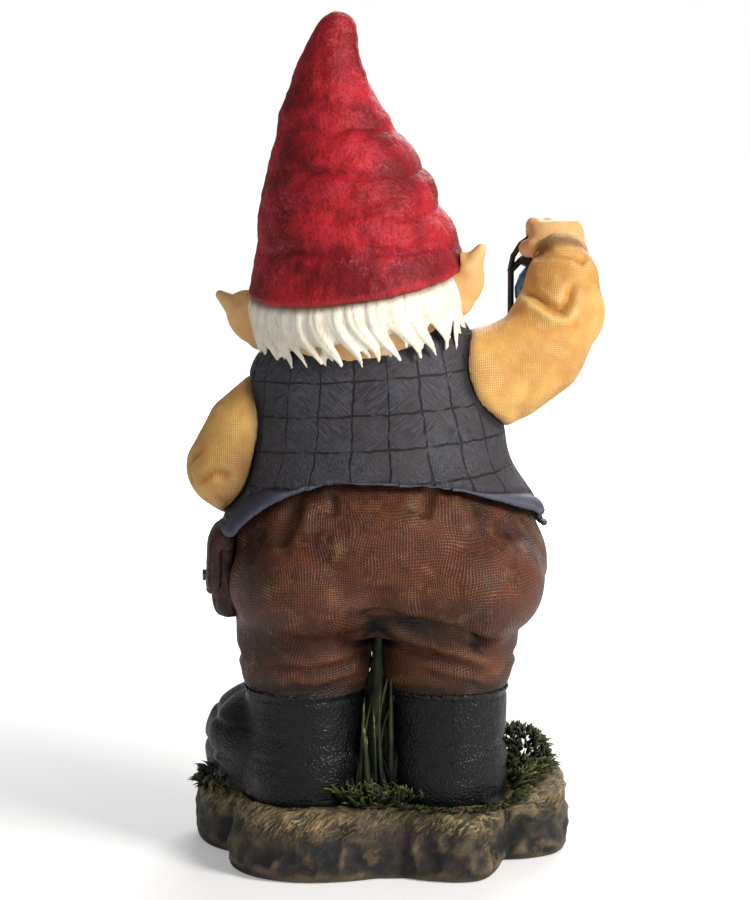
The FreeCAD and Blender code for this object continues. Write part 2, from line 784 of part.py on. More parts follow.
    # Belt, pouch and small parts
    belt = cut(belt_band(), trousers_full, vest_full.cut(front_opening()), hands[1])
    save("belt", cut(belt, buckle()))
    save("belt_buckle", cut(buckle(), trousers_full))
    lid = pouch_lid()
    bag = pouch_bag()
    save("pouch_bag", cut(bag, trousers_full, vest))
    save("pouch_flap", cut(lid, bag, trousers_full, vest))
    save("pouch_stud", rod(POUCH + V(11.2, 0, -3), POUCH + V(13.4, 0, -3), 2.6))
    flap = egg(-73.5, -8, 137, 5.0, 17, 10)
    save("pocket_flap", cut(flap, trousers_full))
    buttons = [cut(vest_button(x, z), vest) for x, z in ((18.5, 202), (21.5, 187), (25.0, 172))]
    save("vest_buttons", Part.makeCompound(buttons))


main()
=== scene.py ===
import math

import bmesh
import bpy
import numpy as np
from mathutils import Matrix, Vector
from mathutils.bvhtree import BVHTree


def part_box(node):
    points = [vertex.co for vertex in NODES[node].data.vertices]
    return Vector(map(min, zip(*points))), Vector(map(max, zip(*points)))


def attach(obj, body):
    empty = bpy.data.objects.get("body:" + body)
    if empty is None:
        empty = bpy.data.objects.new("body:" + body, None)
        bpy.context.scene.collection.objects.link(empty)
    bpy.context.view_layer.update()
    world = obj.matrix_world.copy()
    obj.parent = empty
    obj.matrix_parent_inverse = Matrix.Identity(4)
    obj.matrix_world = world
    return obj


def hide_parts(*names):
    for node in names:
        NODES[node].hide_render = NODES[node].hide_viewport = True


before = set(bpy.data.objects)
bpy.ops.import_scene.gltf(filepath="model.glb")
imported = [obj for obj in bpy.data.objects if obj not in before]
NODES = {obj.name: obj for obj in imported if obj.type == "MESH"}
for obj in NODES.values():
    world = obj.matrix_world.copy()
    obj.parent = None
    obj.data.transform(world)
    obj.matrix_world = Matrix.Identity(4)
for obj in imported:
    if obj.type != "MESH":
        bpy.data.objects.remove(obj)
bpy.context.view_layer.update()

# Garden gnome in painted cast resin. Lengths below are millimetres unless a name says otherwise;
# the gnome faces -Y, +X is its left side and the camera stands behind it.

MM = 0.001
DRAFT = 1.0  # coarser cells while trying things
HEAD = np.array([9.5, -5.0, 258.0])  # the point that the head tilts and turns about
TILT, TURN = math.radians(11.0), math.radians(-10.0)
HEAD_POSE = np.array(Matrix.Rotation(TILT, 3, "Y") @ Matrix.Rotation(TURN, 3, "Z"))
LEG_X, LEG_Y = 34.3, 13.0  # middle of the left boot's shaft; the right one mirrors it
EYE_OUT, EYE_Y, EYE_Z = 14.0, -44.5, 256.5  # eyeballs on the upright head, sideways from its middle
rng = np.random.default_rng(11)


# ------------------------------------------------------------------ numpy mesh work
def read(obj):
    """Vertex places and normals of an object's mesh, in millimetres."""
    mesh = obj.data
    co = np.empty(len(mesh.vertices) * 3, np.float32)
    mesh.vertices.foreach_get("co", co)
    no = np.empty(len(mesh.vertices) * 3, np.float32)
    mesh.vertices.foreach_get("normal", no)
    return co.reshape(-1, 3).astype(float) / MM, no.reshape(-1, 3).astype(float)


def surface_of(node):
    """A CAD node's surface, for finding places on it; it works in metres."""
    mesh = NODES[node].data
    return BVHTree.FromPolygons([v.co[:] for v in mesh.vertices], [f.vertices[:] for f in mesh.polygons])


def write(obj, places):
    obj.data.vertices.foreach_set("co", (places * MM).astype(np.float32).ravel())
    obj.data.update()


def edges_of(obj):
    e = np.empty(len(obj.data.edges) * 2, np.int32)
    obj.data.edges.foreach_get("vertices", e)
    return e.reshape(-1, 2)


def relaxed(places, edges, rounds, keep=0.0):
    """Places after averaging each with its neighbours a number of times."""
    count = len(places)
    ends = np.concatenate([edges[:, 0], edges[:, 1]])
    others = np.concatenate([edges[:, 1], edges[:, 0]])
    degree = np.maximum(np.bincount(ends, minlength=count), 1)[:, None]
    out = places
    for _ in range(rounds):
        mean = np.stack([np.bincount(ends, out[others, k], count) for k in range(3)], 1) / degree
        out = out * keep + mean * (1 - keep)
    return out


def hash01(ix, iy, iz, seed):
    h = (ix * 73856093) ^ (iy * 19349663) ^ (iz * 83492791) ^ (seed * 2654435761)
    h = (h ^ (h >> 13)) * 1274126177 & 0xFFFFFFFF
    h = (h ^ (h >> 16)) * 2246822519 & 0xFFFFFFFF
    return (h ^ (h >> 15)) / 0xFFFFFFFF


def noise(p, size, seed=0):
    """Smooth random values from -1 to 1 whose bumps are about size across."""
    q = p / np.asarray(size, float)
    base = np.floor(q)
    f = q - base
    f = f * f * (3 - 2 * f)
    ix, iy, iz = base.astype(np.int64).T
    total = 0
    for dx in (0, 1):
        for dy in (0, 1):
            for dz in (0, 1):
                wx = f[:, 0] if dx else 1 - f[:, 0]
                wy = f[:, 1] if dy else 1 - f[:, 1]
                wz = f[:, 2] if dz else 1 - f[:, 2]
                total = total + wx * wy * wz * hash01(ix + dx, iy + dy, iz + dz, seed)
    return total * 2 - 1


def fractal(p, size, seed, octaves=3):
    """Noise with finer and finer bumps added."""
    total, weight = 0, 0
    for k in range(octaves):
        total = total + noise(p, np.asarray(size, float) / 2**k, seed + k) / 2**k
        weight += 1 / 2**k
    return total / weight


def step(x, lo, hi):
    """0 below lo, 1 above hi, smooth between."""
    t = np.clip((x - lo) / (hi - lo), 0, 1)
    return t * t * (3 - 2 * t)


def near_path(p, path, width, plane=(0, 2), taper=0.25):
    """1 on a path drawn in a plane, falling off over a width and fading at the path's ends."""
    flat = p[:, plane]
    pts = np.array(path, float)
    lengths = np.linalg.norm(np.diff(pts, axis=0), axis=1)
    along = np.concatenate([[0], np.cumsum(lengths)])
    best = np.full(len(p), 1e9)
    where = np.zeros(len(p))
    for i, length in enumerate(lengths):
        d = (pts[i + 1] - pts[i]) / length
        t = np.clip((flat - pts[i]) @ d, 0, length)
        gap = np.linalg.norm(flat - pts[i] - t[:, None] * d, axis=1)
        closer = gap < best
        best[closer] = gap[closer]
        where[closer] = (along[i] + t[closer]) / along[-1]
    ends = step(where, -0.01, taper) * step(1 - where, -0.01, taper)
    return np.exp(-((best / width) ** 2)) * ends


def folds(p, table, plane=(0, 2), taper=0.25):
    """Surface lift from creases given as (path, width, depth); a negative depth raises a fold."""
    lift = np.zeros(len(p))
    for path, width, depth in table:
        lift = lift - depth * near_path(p, path, width, plane, taper)
    return lift


def push(obj, lift):
    """Moves an object's surface along its normals."""
    places, normals = read(obj)
    write(obj, places + normals * lift[:, None])


def attribute(obj, name, values):
    layer = obj.data.attributes.new(name, "FLOAT", "POINT")
    layer.data.foreach_set("value", np.asarray(values, np.float32))


def mark_hollows(obj, reach):
    """Stores how deep each place lies below its smoothed surroundings, for the dark washes and painted
    shade in hollows and the dry-brushing and painted highlights on raised places.
    """
    places, normals = read(obj)
    soft = relaxed(places, edges_of(obj), reach)
    attribute(obj, "hollow", np.einsum("ij,ij->i", soft - places, normals))


def mark_contact(obj, nodes):
    """Stores how close each place is to neighbouring CAD nodes, where painted shade and the dark washes
    gather along the joins between parts.
    """
    reach = 5.0
    close = np.zeros(len(obj.data.vertices))
    places, _ = read(obj)
    for node in nodes:
        low, high = (np.array(c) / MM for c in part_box(node))
        inside = np.all((places > low - reach) & (places < high + reach), axis=1)
        tree = surface_of(node)
        for i in np.nonzero(inside)[0]:
            gap = tree.find_nearest(places[i] * MM, reach * MM)[3]
            if gap is not None:
                close[i] = max(close[i], 1 - gap / (reach * MM))
    attribute(obj, "contact", close)


# ------------------------------------------------------------------ building objects
def new_object(name, verts, faces):
    """An object from places in millimetres."""
    mesh = bpy.data.meshes.new(name)
    mesh.from_pydata((np.asarray(verts) * MM).tolist(), [], faces)
    mesh.validate()
    obj = bpy.data.objects.new(name, mesh)
    bpy.context.scene.collection.objects.link(obj)
    return obj


def copy_nodes(name, nodes):
    """One new object holding copies of CAD node meshes."""
    bm = bmesh.new()
    for node in nodes:
        bm.from_mesh(NODES[node].data)
    mesh = bpy.data.meshes.new(name)
    bm.to_mesh(mesh)
    bm.free()
    obj = bpy.data.objects.new(name, mesh)
    bpy.context.scene.collection.objects.link(obj)
    return obj


def remesh(obj, cell):
    """Fuses an object's closed shells into one even skin."""
    mod = obj.modifiers.new("skin", "REMESH")
    mod.mode = "VOXEL"
    mod.voxel_size = cell * DRAFT * MM
    obj.data = bpy.data.meshes.new_from_object(obj.evaluated_get(bpy.context.evaluated_depsgraph_get()))
    obj.modifiers.clear()
    return obj


def absorb(obj, others):
    """Adds other objects' meshes to an object and removes them."""
    bm = bmesh.new()
    for o in [obj] + others:
        bm.from_mesh(o.data)
    bm.to_mesh(obj.data)
    bm.free()
    for o in others:
        bpy.data.objects.remove(o)
    return obj


def clay(name, nodes, cell, rounds, extra=()):
    """A sculptable copy of CAD nodes: fused, evened out and relaxed."""
    obj = copy_nodes(name, nodes)
    if extra:
        absorb(obj, list(extra))
    remesh(obj, cell)
    places, _ = read(obj)
    write(obj, relaxed(places, edges_of(obj), rounds))
    return obj


def finish_piece(obj, finish, nodes, hollows, touching=()):
    """Marks hollows and contact for the dark washes, painted shade and painted highlights, shades smooth,
    paints, and ties a piece to the frame.
    """
    if hollows:
        mark_hollows(obj, hollows)
    if touching:
        mark_contact(obj, touching)
    obj.data.shade_smooth()
    obj.data.materials.clear()
    obj.data.materials.append(finish[0])
    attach(obj, "root")
    if nodes:
        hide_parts(*nodes)


def soft_copy(name, piece, finish, rounds, bump, seed, depth, hollows, cell=0.6):
    """A piece that follows its CAD node, evened out and given small random bumps."""
    obj = clay(piece, [name], cell, rounds)
    p, _ = read(obj)
    push(obj, fractal(p, bump, seed, 2) * depth)
    finish_piece(obj, finish, [name], hollows)


def tube(path, radii, sides, flat=1.0, up=(0, 1, 0)):
    """Vertices and faces of a closed tapered tube; flat below 1 thins it along the up direction."""
    path = np.asarray(path, float)
    tangent = np.gradient(path, axis=0)
    tangent /= np.linalg.norm(tangent, axis=1)[:, None]
    up = np.asarray(up, float)
    if up.ndim == 1:
        up = np.tile(up, (len(path), 1))
    side = np.cross(tangent, up)
    side /= np.linalg.norm(side, axis=1)[:, None] + 1e-9
    rise = np.cross(side, tangent)
    verts, faces = [], []
    for i, r in enumerate(radii):
        for k in range(sides):
            a = 2 * math.pi * k / sides
            verts.append(path[i] + side[i] * r * math.cos(a) + rise[i] * r * flat * math.sin(a))
    for i in range(len(radii) - 1):
        for k in range(sides):
            a, b = i * sides + k, i * sides + (k + 1) % sides
            faces.append((a, b, b + sides, a + sides))
    faces.append(tuple(range(sides))[::-1])
    last = (len(radii) - 1) * sides
    faces.append(tuple(range(last, last + sides)))
    return verts, faces


def gather(parts):
    """Joins (verts, faces) pairs into one pair."""
    verts, faces = [], []
    for v, f in parts:
        faces += [tuple(i + len(verts) for i in face) for face in f]
        verts += list(v)
    return verts, faces


def with_head(p):
    """Carries places on the upright, forward-looking head to the tilted and turned one."""
    return HEAD + (np.asarray(p, float) - HEAD) @ HEAD_POSE.T


# ------------------------------------------------------------------ materials
def linear(colour):
    """Linear colour from 0-255 display values."""
    return [c / 255 / 12.92 if c <= 10 else ((c / 255 + 0.055) / 1.055) ** 2.4 for c in colour] + [1]


class Paint:
    """A procedural material; its methods add nodes and return their output sockets."""

    def __init__(self, name):
        self.material = bpy.data.materials.new(name)
        self.material.use_nodes = True
        self.tree = self.material.node_tree
        self.tree.nodes.clear()
        self.out = self.tree.nodes.new("ShaderNodeOutputMaterial")
        self.bsdf = self.tree.nodes.new("ShaderNodeBsdfPrincipled")
        self.tree.links.new(self.bsdf.outputs[0], self.out.inputs[0])
        self.place = self.add("ShaderNodeTexCoord").outputs["Object"]
        self.normal = None

    def add(self, kind, inputs=None, **settings):
        node = self.tree.nodes.new(kind)
        for key, value in settings.items():
            setattr(node, key, value)
        for key, value in (inputs or {}).items():
            self.put(value, node.inputs[key])
        return node

    def put(self, value, socket):
        if isinstance(value, bpy.types.NodeSocket):
            self.tree.links.new(value, socket)
        else:
            socket.default_value = linear(value) if socket.type == "RGBA" else value

    def math(self, operation, a, b=0.0, c=0.0):
        node = self.add("ShaderNodeMath", {0: a, 1: b, 2: c}, operation=operation)
        return node.outputs[0]

    def times(self, a, b):
        return self.math("MULTIPLY", a, b)

    def plus(self, a, b):
        return self.math("ADD", a, b)

    def minus(self, a, b):
        return self.math("SUBTRACT", a, b)

    def scaled(self, value, by, shift):
        return self.math("MULTIPLY_ADD", value, by, shift)

    def span(self, value, lo, hi, to_lo=0.0, to_hi=1.0):
        """Maps lo..hi to to_lo..to_hi, smooth and clamped."""
        inputs = {0: value, 1: lo, 2: hi, 3: to_lo, 4: to_hi}
        return self.add("ShaderNodeMapRange", inputs, interpolation_type="SMOOTHSTEP").outputs[0]

    def mix(self, factor, a, b):
        return self.add("ShaderNodeMix", {0: factor, 6: a, 7: b}, data_type="RGBA").outputs[2]

    def attribute(self, name):
        return self.add("ShaderNodeAttribute", attribute_name=name).outputs["Fac"]

    def stretched(self, sizes, turn=(0.0, 0.0, 0.0)):
        """Object places turned and divided by sizes in millimetres."""
        turned = self.add("ShaderNodeMapping", {0: self.place, 2: turn}, vector_type="POINT").outputs[0]
        scale = tuple(1 / (s * MM) for s in sizes)
        return self.add("ShaderNodeMapping", {0: turned, 3: scale}, vector_type="POINT").outputs[0]

    def noise(self, size, detail, rough=0.55, turn=(0.0, 0.0, 0.0), warp=0.0):
        sizes = size if isinstance(size, tuple) else (size, size, size)
        inputs = {"Vector": self.stretched(sizes, turn), "Scale": 1.0, "Detail": detail, "Roughness": rough,
                  "Distortion": warp}
        return self.add("ShaderNodeTexNoise", inputs).outputs[0]

    def mottled(self, size, dark, light, lo=0.36, hi=0.66, detail=3.0, rough=0.55):
        """Two colours in broad soft patches."""
        return self.mix(self.span(self.noise(size, detail, rough), lo, hi), dark, light)

    def patches(self, colour, tint, size, lo, hi, strength, detail=4.0, rough=0.65, turn=(0.0, 0.0, 0.0)):
        """Lays a tint over a colour in scattered patches."""
        where = self.span(self.noise(size, detail, rough, turn), lo, hi, 0.0, strength)
        return self.mix(where, colour, tint)

    def height(self):
        """Millimetres above the ground."""
        return self.math("DIVIDE", self.add("ShaderNodeSeparateXYZ", {0: self.place}).outputs[2], MM)

    def pebbles(self, size):
        inputs = {"Vector": self.stretched((size, size, size)), "Scale": 1.0}
        return self.add("ShaderNodeTexVoronoi", inputs, feature="SMOOTH_F1").outputs[0]

    def bump(self, height, depth):
        """Raises the surface by height (0-1) times a depth in millimetres."""
        inputs = {"Strength": 1.0, "Distance": depth * MM, "Height": height}
        node = self.add("ShaderNodeBump", inputs)
        if self.normal is not None:
            self.tree.links.new(self.normal, node.inputs["Normal"])
        self.normal = node.outputs[0]

    def weave(self, pitch, wander):
        """A plain weave seen the same from every side, 0 in the gaps and 1 on the threads."""
        inputs = {"Vector": self.stretched((30, 30, 30)), "Scale": 1.0, "Detail": 1.0}
        shift = self.add("ShaderNodeTexNoise", inputs)
        half = (0.5, 0.5, 0.5)
        centring = {0: shift.outputs["Color"], 1: half}
        centred = self.add("ShaderNodeVectorMath", centring, operation="SUBTRACT")
        amount = wander * 30 * MM
        moved = self.add("ShaderNodeVectorMath", {0: centred.outputs[0], 3: amount}, operation="SCALE")
        placed = self.add("ShaderNodeVectorMath", {0: self.place, 1: moved.outputs[0]}, operation="ADD")
        xyz = self.add("ShaderNodeSeparateXYZ", {0: placed.outputs[0]})
        waves = []
        for axis in range(3):
            phase = self.times(xyz.outputs[axis], 2 * math.pi / (pitch * MM))
            waves.append(self.math("SINE", phase))
        faces = self.add("ShaderNodeSeparateXYZ", {0: self.add("ShaderNodeNewGeometry").outputs["Normal"]})
        total, weight = 0.0, 0.0001
        for axis in range(3):
            a, b = [waves[k] for k in range(3) if k != axis]
            share = self.math("POWER", self.math("ABSOLUTE", faces.outputs[axis]), 4.0)
            threads = self.scaled(self.math("MAXIMUM", a, b), 0.5, 0.5)
            total = self.scaled(threads, share, total)
            weight = self.plus(share, weight)
        return self.math("DIVIDE", total, weight)

    def done(self, colour, rough, specular, metallic=0.0, coat=0.0):
        self.put(colour, self.bsdf.inputs["Base Color"])
        self.put(rough, self.bsdf.inputs["Roughness"])
        self.put(specular, self.bsdf.inputs["Specular IOR Level"])
        self.put(metallic, self.bsdf.inputs["Metallic"])
        self.put(coat, self.bsdf.inputs["Coat Weight"])
        if self.normal is not None:
            self.tree.links.new(self.normal, self.bsdf.inputs["Normal"])
        return self.material


def wash_shade_and_highlight(p, colour, dark, light, fine, deep, wash_and_shade_strength, brush_and_highlight_strength):
    """Dark washes and painted shade in hollows, at joins with other parts and where the shade attribute
    says; light dry-brushing and painted highlights on raised places, broken up by a fine pattern.
    """
    hollow = p.attribute("hollow")
    uneven = p.scaled(fine, -0.5 * deep, 0.25 * deep)
    # dark washes and painted shade in the hollows
    wash_and_shade = p.span(p.plus(hollow, uneven), 0.04 * deep, deep, 0.0, wash_and_shade_strength)
    # painted shade and dark washes gathering at the joins with other parts
    seam = p.plus(p.attribute("contact"), p.scaled(fine, 0.5, -0.25))
    wash_and_shade = p.math("MAXIMUM", wash_and_shade, p.span(seam, 0.15, 0.95, 0.0, wash_and_shade_strength))
    # painted shade wherever a piece sets its shade attribute
    wash_and_shade = p.math("MAXIMUM", wash_and_shade, p.attribute("shade"))
    # light dry-brushing and painted highlights on raised places
    raised = p.span(p.times(p.plus(hollow, uneven), -1.0), 0.05 * deep, 0.8 * deep, 0.0, brush_and_highlight_strength)
    colour = p.mix(wash_and_shade, colour, dark)
    return p.mix(raised, colour, light)


def felt():
    p = Paint("hat_red_felt")
    pits = p.noise(1.5, 2.0, 0.6)
    colour = p.mottled(26, (118, 14, 24), (184, 34, 44), rough=0.6)
    speck = p.span(pits, 0.30, 0.52)
    colour = p.mix(p.times(p.minus(1.0, speck), 0.4), colour, (60, 12, 26))
    dust = p.times(p.span(p.noise(18, 4.0, 0.7), 0.52, 0.72), p.span(pits, 0.5, 0.66))
    colour = p.mix(p.times(dust, 0.42), colour, (206, 110, 120))
    colour = wash_shade_and_highlight(p, colour, (66, 12, 28), (214, 62, 70), pits, deep=1.6, wash_and_shade_strength=0.75, brush_and_highlight_strength=0.35)
    p.bump(pits, 0.55)
    p.bump(p.noise(5.0, 3.0), 0.7)
    return p.done(colour, p.span(pits, 0.3, 0.7, 0.62, 0.46), 0.22)


def hair():
    p = Paint("hair_cream")
    strands = p.noise((0.7, 0.7, 6.0), 2.0, 0.6)
    colour = p.mottled(14, (238, 230, 208), (250, 246, 232), 0.35, 0.7, 2.0)
    colour = p.mix(p.span(strands, 0.34, 0.48, 0.3, 0.0), colour, (176, 150, 106))
    colour = wash_shade_and_highlight(p, colour, (112, 82, 44), (255, 253, 246), strands, deep=0.85, wash_and_shade_strength=0.92, brush_and_highlight_strength=0.5)
    p.bump(strands, 0.25)
    return p.done(colour, 0.5, 0.4)


def skin(blush_places):
    """Warm skin, rosier round the given places (centre, radius)."""
    p = Paint("skin_warm")
    fine = p.noise(1.6, 2.0)
    colour = p.mottled(20, (226, 172, 108), (240, 196, 134), 0.34, 0.68)
    for centre, radius, strength in blush_places:
        spot = tuple(float(c) * MM for c in centre)
        gap = p.add("ShaderNodeVectorMath", {0: p.place, 1: spot}, operation="DISTANCE").outputs["Value"]
        colour = p.mix(p.span(gap, radius * 0.3 * MM, radius * MM, strength, 0.0), colour, (206, 96, 70))
    colour = wash_shade_and_highlight(p, colour, (132, 78, 38), (248, 214, 158), fine, deep=0.9, wash_and_shade_strength=0.75, brush_and_highlight_strength=0.4)
    p.bump(fine, 0.18)
    return p.done(colour, 0.48, 0.42)


def shirt():
    p = Paint("shirt_golden_weave")
    threads = p.weave(1.0, 0.2)
    broken = p.times(threads, p.span(p.noise(7, 3.0), 0.3, 0.6, 0.25, 1.0))
    colour = p.mottled(24, (200, 140, 62), (228, 174, 90), 0.34, 0.68)
    colour = p.mix(p.span(broken, 0.05, 0.5, 0.26, 0.0), colour, (178, 120, 56))
    colour = p.mix(p.span(broken, 0.72, 1.0, 0.0, 0.3), colour, (255, 228, 162))
    colour = p.patches(colour, (198, 138, 66), 11, 0.52, 0.72, 0.4)
    colour = wash_shade_and_highlight(p, colour, (112, 68, 32), (255, 228, 164), threads, deep=1.3, wash_and_shade_strength=0.88, brush_and_highlight_strength=0.4)
    p.bump(broken, 0.2)
    p.bump(p.noise(5, 4.0, 0.6), 0.6)
    return p.done(colour, 0.5, 0.4)


def vest_cloth():
    """Blue-grey wool look: brushed hatching, an incised black check and a lighter rolled hem."""
    p = Paint("vest_blue_grey_check")
    up = p.noise((0.55, 0.55, 6.0), 3.0, 0.7)
    one = p.noise((0.5, 6.0, 5.0), 3.0, 0.7, turn=(0.0, math.radians(52), 0.0))
    two = p.noise((0.5, 6.0, 5.0), 3.0, 0.7, turn=(0.0, math.radians(-48), 0.0))
    strokes = p.scaled(p.minus(one, two), p.span(p.noise(15, 1.0), 0.4, 0.6), two)
    low = p.span(p.height(), 186, 206)
    strokes = p.scaled(p.minus(strokes, up), low, up)
    colour = p.mix(p.span(strokes, 0.36, 0.66), (33, 32, 37), (78, 76, 86))
    colour = p.patches(colour, (58, 50, 50), 16, 0.4, 0.7, 0.6, 3.0, 0.55)
    colour = p.patches(colour, (62, 66, 88), 9, 0.56, 0.72, 0.4, 3.0, 0.55, (0.5, 0.9, 0.1))
    wobble = p.scaled(p.noise(7, 2.0), 0.16, -0.08)
    line = 0.0
    for name in ("check_u", "check_v"):
        place = p.plus(p.attribute(name), wobble)
        off = p.math("ABSOLUTE", p.minus(p.math("FRACT", p.plus(place, 0.5)), 0.5))
        line = p.math("MAXIMUM", line, p.span(off, 0.0117, 0.039, 1.0, 0.0))
    line = p.times(line, p.span(p.noise(5, 2.0), 0.34, 0.5, 0.2, 1.0))
    hem = p.attribute("hem")
    line = p.times(line, p.minus(1.0, hem))
    colour = p.mix(p.times(line, 0.92), colour, (14, 13, 16))
    colour = p.mix(p.times(hem, p.span(strokes, 0.3, 0.7, 0.6, 0.95)), colour, (52, 57, 76))
    colour = wash_shade_and_highlight(p, colour, (13, 13, 17), (116, 116, 132), strokes, deep=1.2, wash_and_shade_strength=0.9, brush_and_highlight_strength=0.4)
    p.bump(p.minus(1.0, line), 0.6)
    p.bump(strokes, 0.4)
    return p.done(colour, 0.56, 0.35)


def trouser_cloth():
    p = Paint("trouser_brown_weave")
    threads = p.weave(1.2, 0.45)
    worn = p.noise(13, 4.0, 0.65)
    broken = p.times(threads, p.span(p.noise(6, 4.0), 0.3, 0.58, 0.25, 1.0))
    rust, olive, soot = (116, 50, 28), (84, 66, 32), (36, 20, 16)
    colour = p.mottled(34, (58, 30, 21), (94, 48, 30))
    colour = p.patches(colour, rust, 20, 0.52, 0.68, 0.6, turn=(1.0, 0.4, 0.2))
    colour = p.patches(colour, olive, 26, 0.54, 0.7, 0.55, turn=(0.3, 1.4, 0.2))
    colour = p.patches(colour, soot, 24, 0.54, 0.72, 0.6, turn=(0.9, 0.1, 1.2))
    colour = p.mix(p.span(broken, 0.08, 0.6, 0.6, 0.0), colour, (25, 14, 12))
    tips = p.times(p.span(broken, 0.6, 0.95), p.span(worn, 0.5, 0.72, 0.06, 0.62))
    colour = p.mix(tips, colour, (160, 114, 78))
    colour = wash_shade_and_highlight(p, colour, (15, 8, 8), (150, 104, 68), threads, deep=1.9, wash_and_shade_strength=0.95, brush_and_highlight_strength=0.3)
    p.bump(broken, 0.35)
    p.bump(worn, 0.9)
    return p.done(colour, p.span(worn, 0.4, 0.7, 0.46, 0.32), 0.3)


def boot_leather():
    p = Paint("boot_black_pebbled")
    pebbles = p.pebbles(1.1)
    rounded = p.span(pebbles, 0.05, 0.75, 1.0, 0.0)
    drawn = p.noise((0.8, 0.8, 6.0), 3.0, 0.6)
    colour = p.mottled(22, (2, 3, 4), (6, 7, 10), 0.35, 0.7)
    colour = p.patches(colour, (44, 38, 28), 30, 0.62, 0.76, 0.3, 2.0, 0.55, (0.4, 0.2, 1.1))
    tips = p.times(p.span(rounded, 0.5, 0.95), p.span(drawn, 0.5, 0.72, 0.02, 0.5))
    colour = p.mix(tips, colour, (56, 59, 66))
    colour = wash_shade_and_highlight(p, colour, (4, 4, 5), (66, 69, 74), pebbles, deep=1.4, wash_and_shade_strength=0.95, brush_and_highlight_strength=0.22)
    p.bump(rounded, 0.25)
    p.bump(p.noise(5, 4.0), 0.55)
    return p.done(colour, p.span(p.noise(4, 2.0), 0.3, 0.7, 0.3, 0.44), 0.32)


def stone():
    """Dark stones dry-brushed with ochre on their upper edges, the ochre there also a painted highlight."""
    p = Paint("stone_dry_brushed")
    hairs = p.noise((0.9, 5.0, 4.0), 4.0, 0.7, turn=(0.2, 0.5, 0.4), warp=1.0)
    hairs_b = p.noise((5.0, 0.9, 4.0), 4.0, 0.7, turn=(0.3, 0.2, -0.5), warp=1.0)
    which = p.span(p.noise(17, 1.0), 0.4, 0.6)
    marks = p.scaled(p.minus(hairs, hairs_b), which, hairs_b)
    ragged = p.scaled(p.noise(9, 3.0), 16.0, -8.0)
    low = p.span(p.plus(p.height(), ragged), 15.0, 27.0)
    side = p.mottled(12, (25, 27, 32), (58, 51, 42), 0.4, 0.65, 4.0)
    top = p.mottled(16, (42, 37, 31), (82, 70, 52), 0.4, 0.65, 4.0)
    colour = p.mix(low, side, top)
    colour = p.patches(colour, (116, 100, 72), 14, 0.56, 0.68, 0.6, turn=(0.5, 0.8, 0.6))
    colour = p.mix(p.span(marks, 0.34, 0.5, 0.8, 0.0), colour, (22, 20, 20))
    # ochre dry-brushing and painted highlight along the upper rim and over the tops
    edge = p.attribute("edge")
    share = p.scaled(edge, 0.6, p.times(low, 0.34))
    colour = p.mix(p.times(p.span(marks, 0.48, 0.62), share), colour, (178, 154, 104))
    green = p.times(p.span(p.noise(13, 2.0, turn=(0.9, 0.1, 0.3)), 0.56, 0.7), low)
    colour = p.mix(p.times(green, 0.4), colour, (56, 62, 32))
    colour = wash_shade_and_highlight(p, colour, (12, 12, 14), (176, 150, 106), marks, deep=1.5, wash_and_shade_strength=0.75, brush_and_highlight_strength=0.3)
    p.bump(marks, 0.9)
    return p.done(colour, 0.6, 0.4)


def grass():
    p = Paint("grass_green")
    streak = p.noise((1.2, 1.2, 6.0), 3.0)
    rise = p.attribute("rise")
    colour = p.mottled(11, (22, 32, 17), (50, 60, 28), 0.35, 0.68, 2.0)
    colour = p.mix(p.span(rise, 0.35, 1.0, 0.0, 0.6), colour, (88, 92, 46))
    tips = p.times(p.span(rise, 0.6, 1.0), p.span(p.noise(5, 2.0), 0.5, 0.62))
    colour = p.mix(tips, colour, (152, 146, 92))
    colour = p.mix(p.span(rise, 0.0, 0.35, 0.75, 0.0), colour, (16, 20, 14))
    p.bump(streak, 0.3)
    return p.done(colour, 0.55, 0.35)


def leather():
    p = Paint("leather_dark_brown")
    grain = p.pebbles(1.3)
    colour = p.mottled(10, (28, 17, 15), (70, 36, 26), 0.35, 0.65, 4.0)
    colour = p.patches(colour, (108, 66, 46), 3, 0.56, 0.7, 0.5, 3.0, 0.55)
    colour = wash_shade_and_highlight(p, colour, (10, 7, 7), (120, 76, 52), grain, deep=0.8, wash_and_shade_strength=0.85, brush_and_highlight_strength=0.5)
    p.bump(grain, 0.3)
    return p.done(colour, 0.48, 0.4)


def plain_paint(name, dark, light, rough, size, metallic=0.0, coat=0.0, worn=None):
    """Brushed paint with uneven tone, small bumps and worn raised spots."""
    p = Paint(name)
    fine = p.noise(size, 4.0, 0.6)
    colour = p.mix(p.span(fine, 0.36, 0.64), dark, light)
    if worn:
        colour = p.patches(colour, worn, size * 0.7, 0.62, 0.72, 0.55, 3.0, 0.55, (0.7, 0.2, 0.4))
    p.bump(fine, 0.12)
    return p.done(colour, p.span(fine, 0.3, 0.7, rough + 0.08, rough - 0.05), 0.5, metallic, coat)


def eye_paint(centres, looks):
    """White eyeballs with a brown iris and a dark pupil where each one looks."""
    p = Paint("eye_gloss")
    colour = p.mottled(6, (226, 220, 206), (244, 240, 230), 0.3, 0.7, 2.0)
    gap = 1.0
    for centre, look in zip(centres, looks):
        spot = tuple(float(c) * MM for c in np.asarray(centre) + np.asarray(look))
        away = p.add("ShaderNodeVectorMath", {0: p.place, 1: spot}, operation="DISTANCE").outputs["Value"]
        gap = p.math("MINIMUM", gap, away)
    iris = p.mottled(0.8, (66, 98, 128), (112, 148, 170), 0.35, 0.65, 2.0)
    rings = ((2.35, 2.75, (28, 34, 44)), (2.0, 2.4, iris), (1.0, 1.25, (10, 9, 10)))
    for inner, outer, tint in rings:
        colour = p.mix(p.span(gap, inner * MM, outer * MM, 1.0, 0.0), colour, tint)
    return p.done(colour, 0.12, 0.6, 0.0, 0.8)


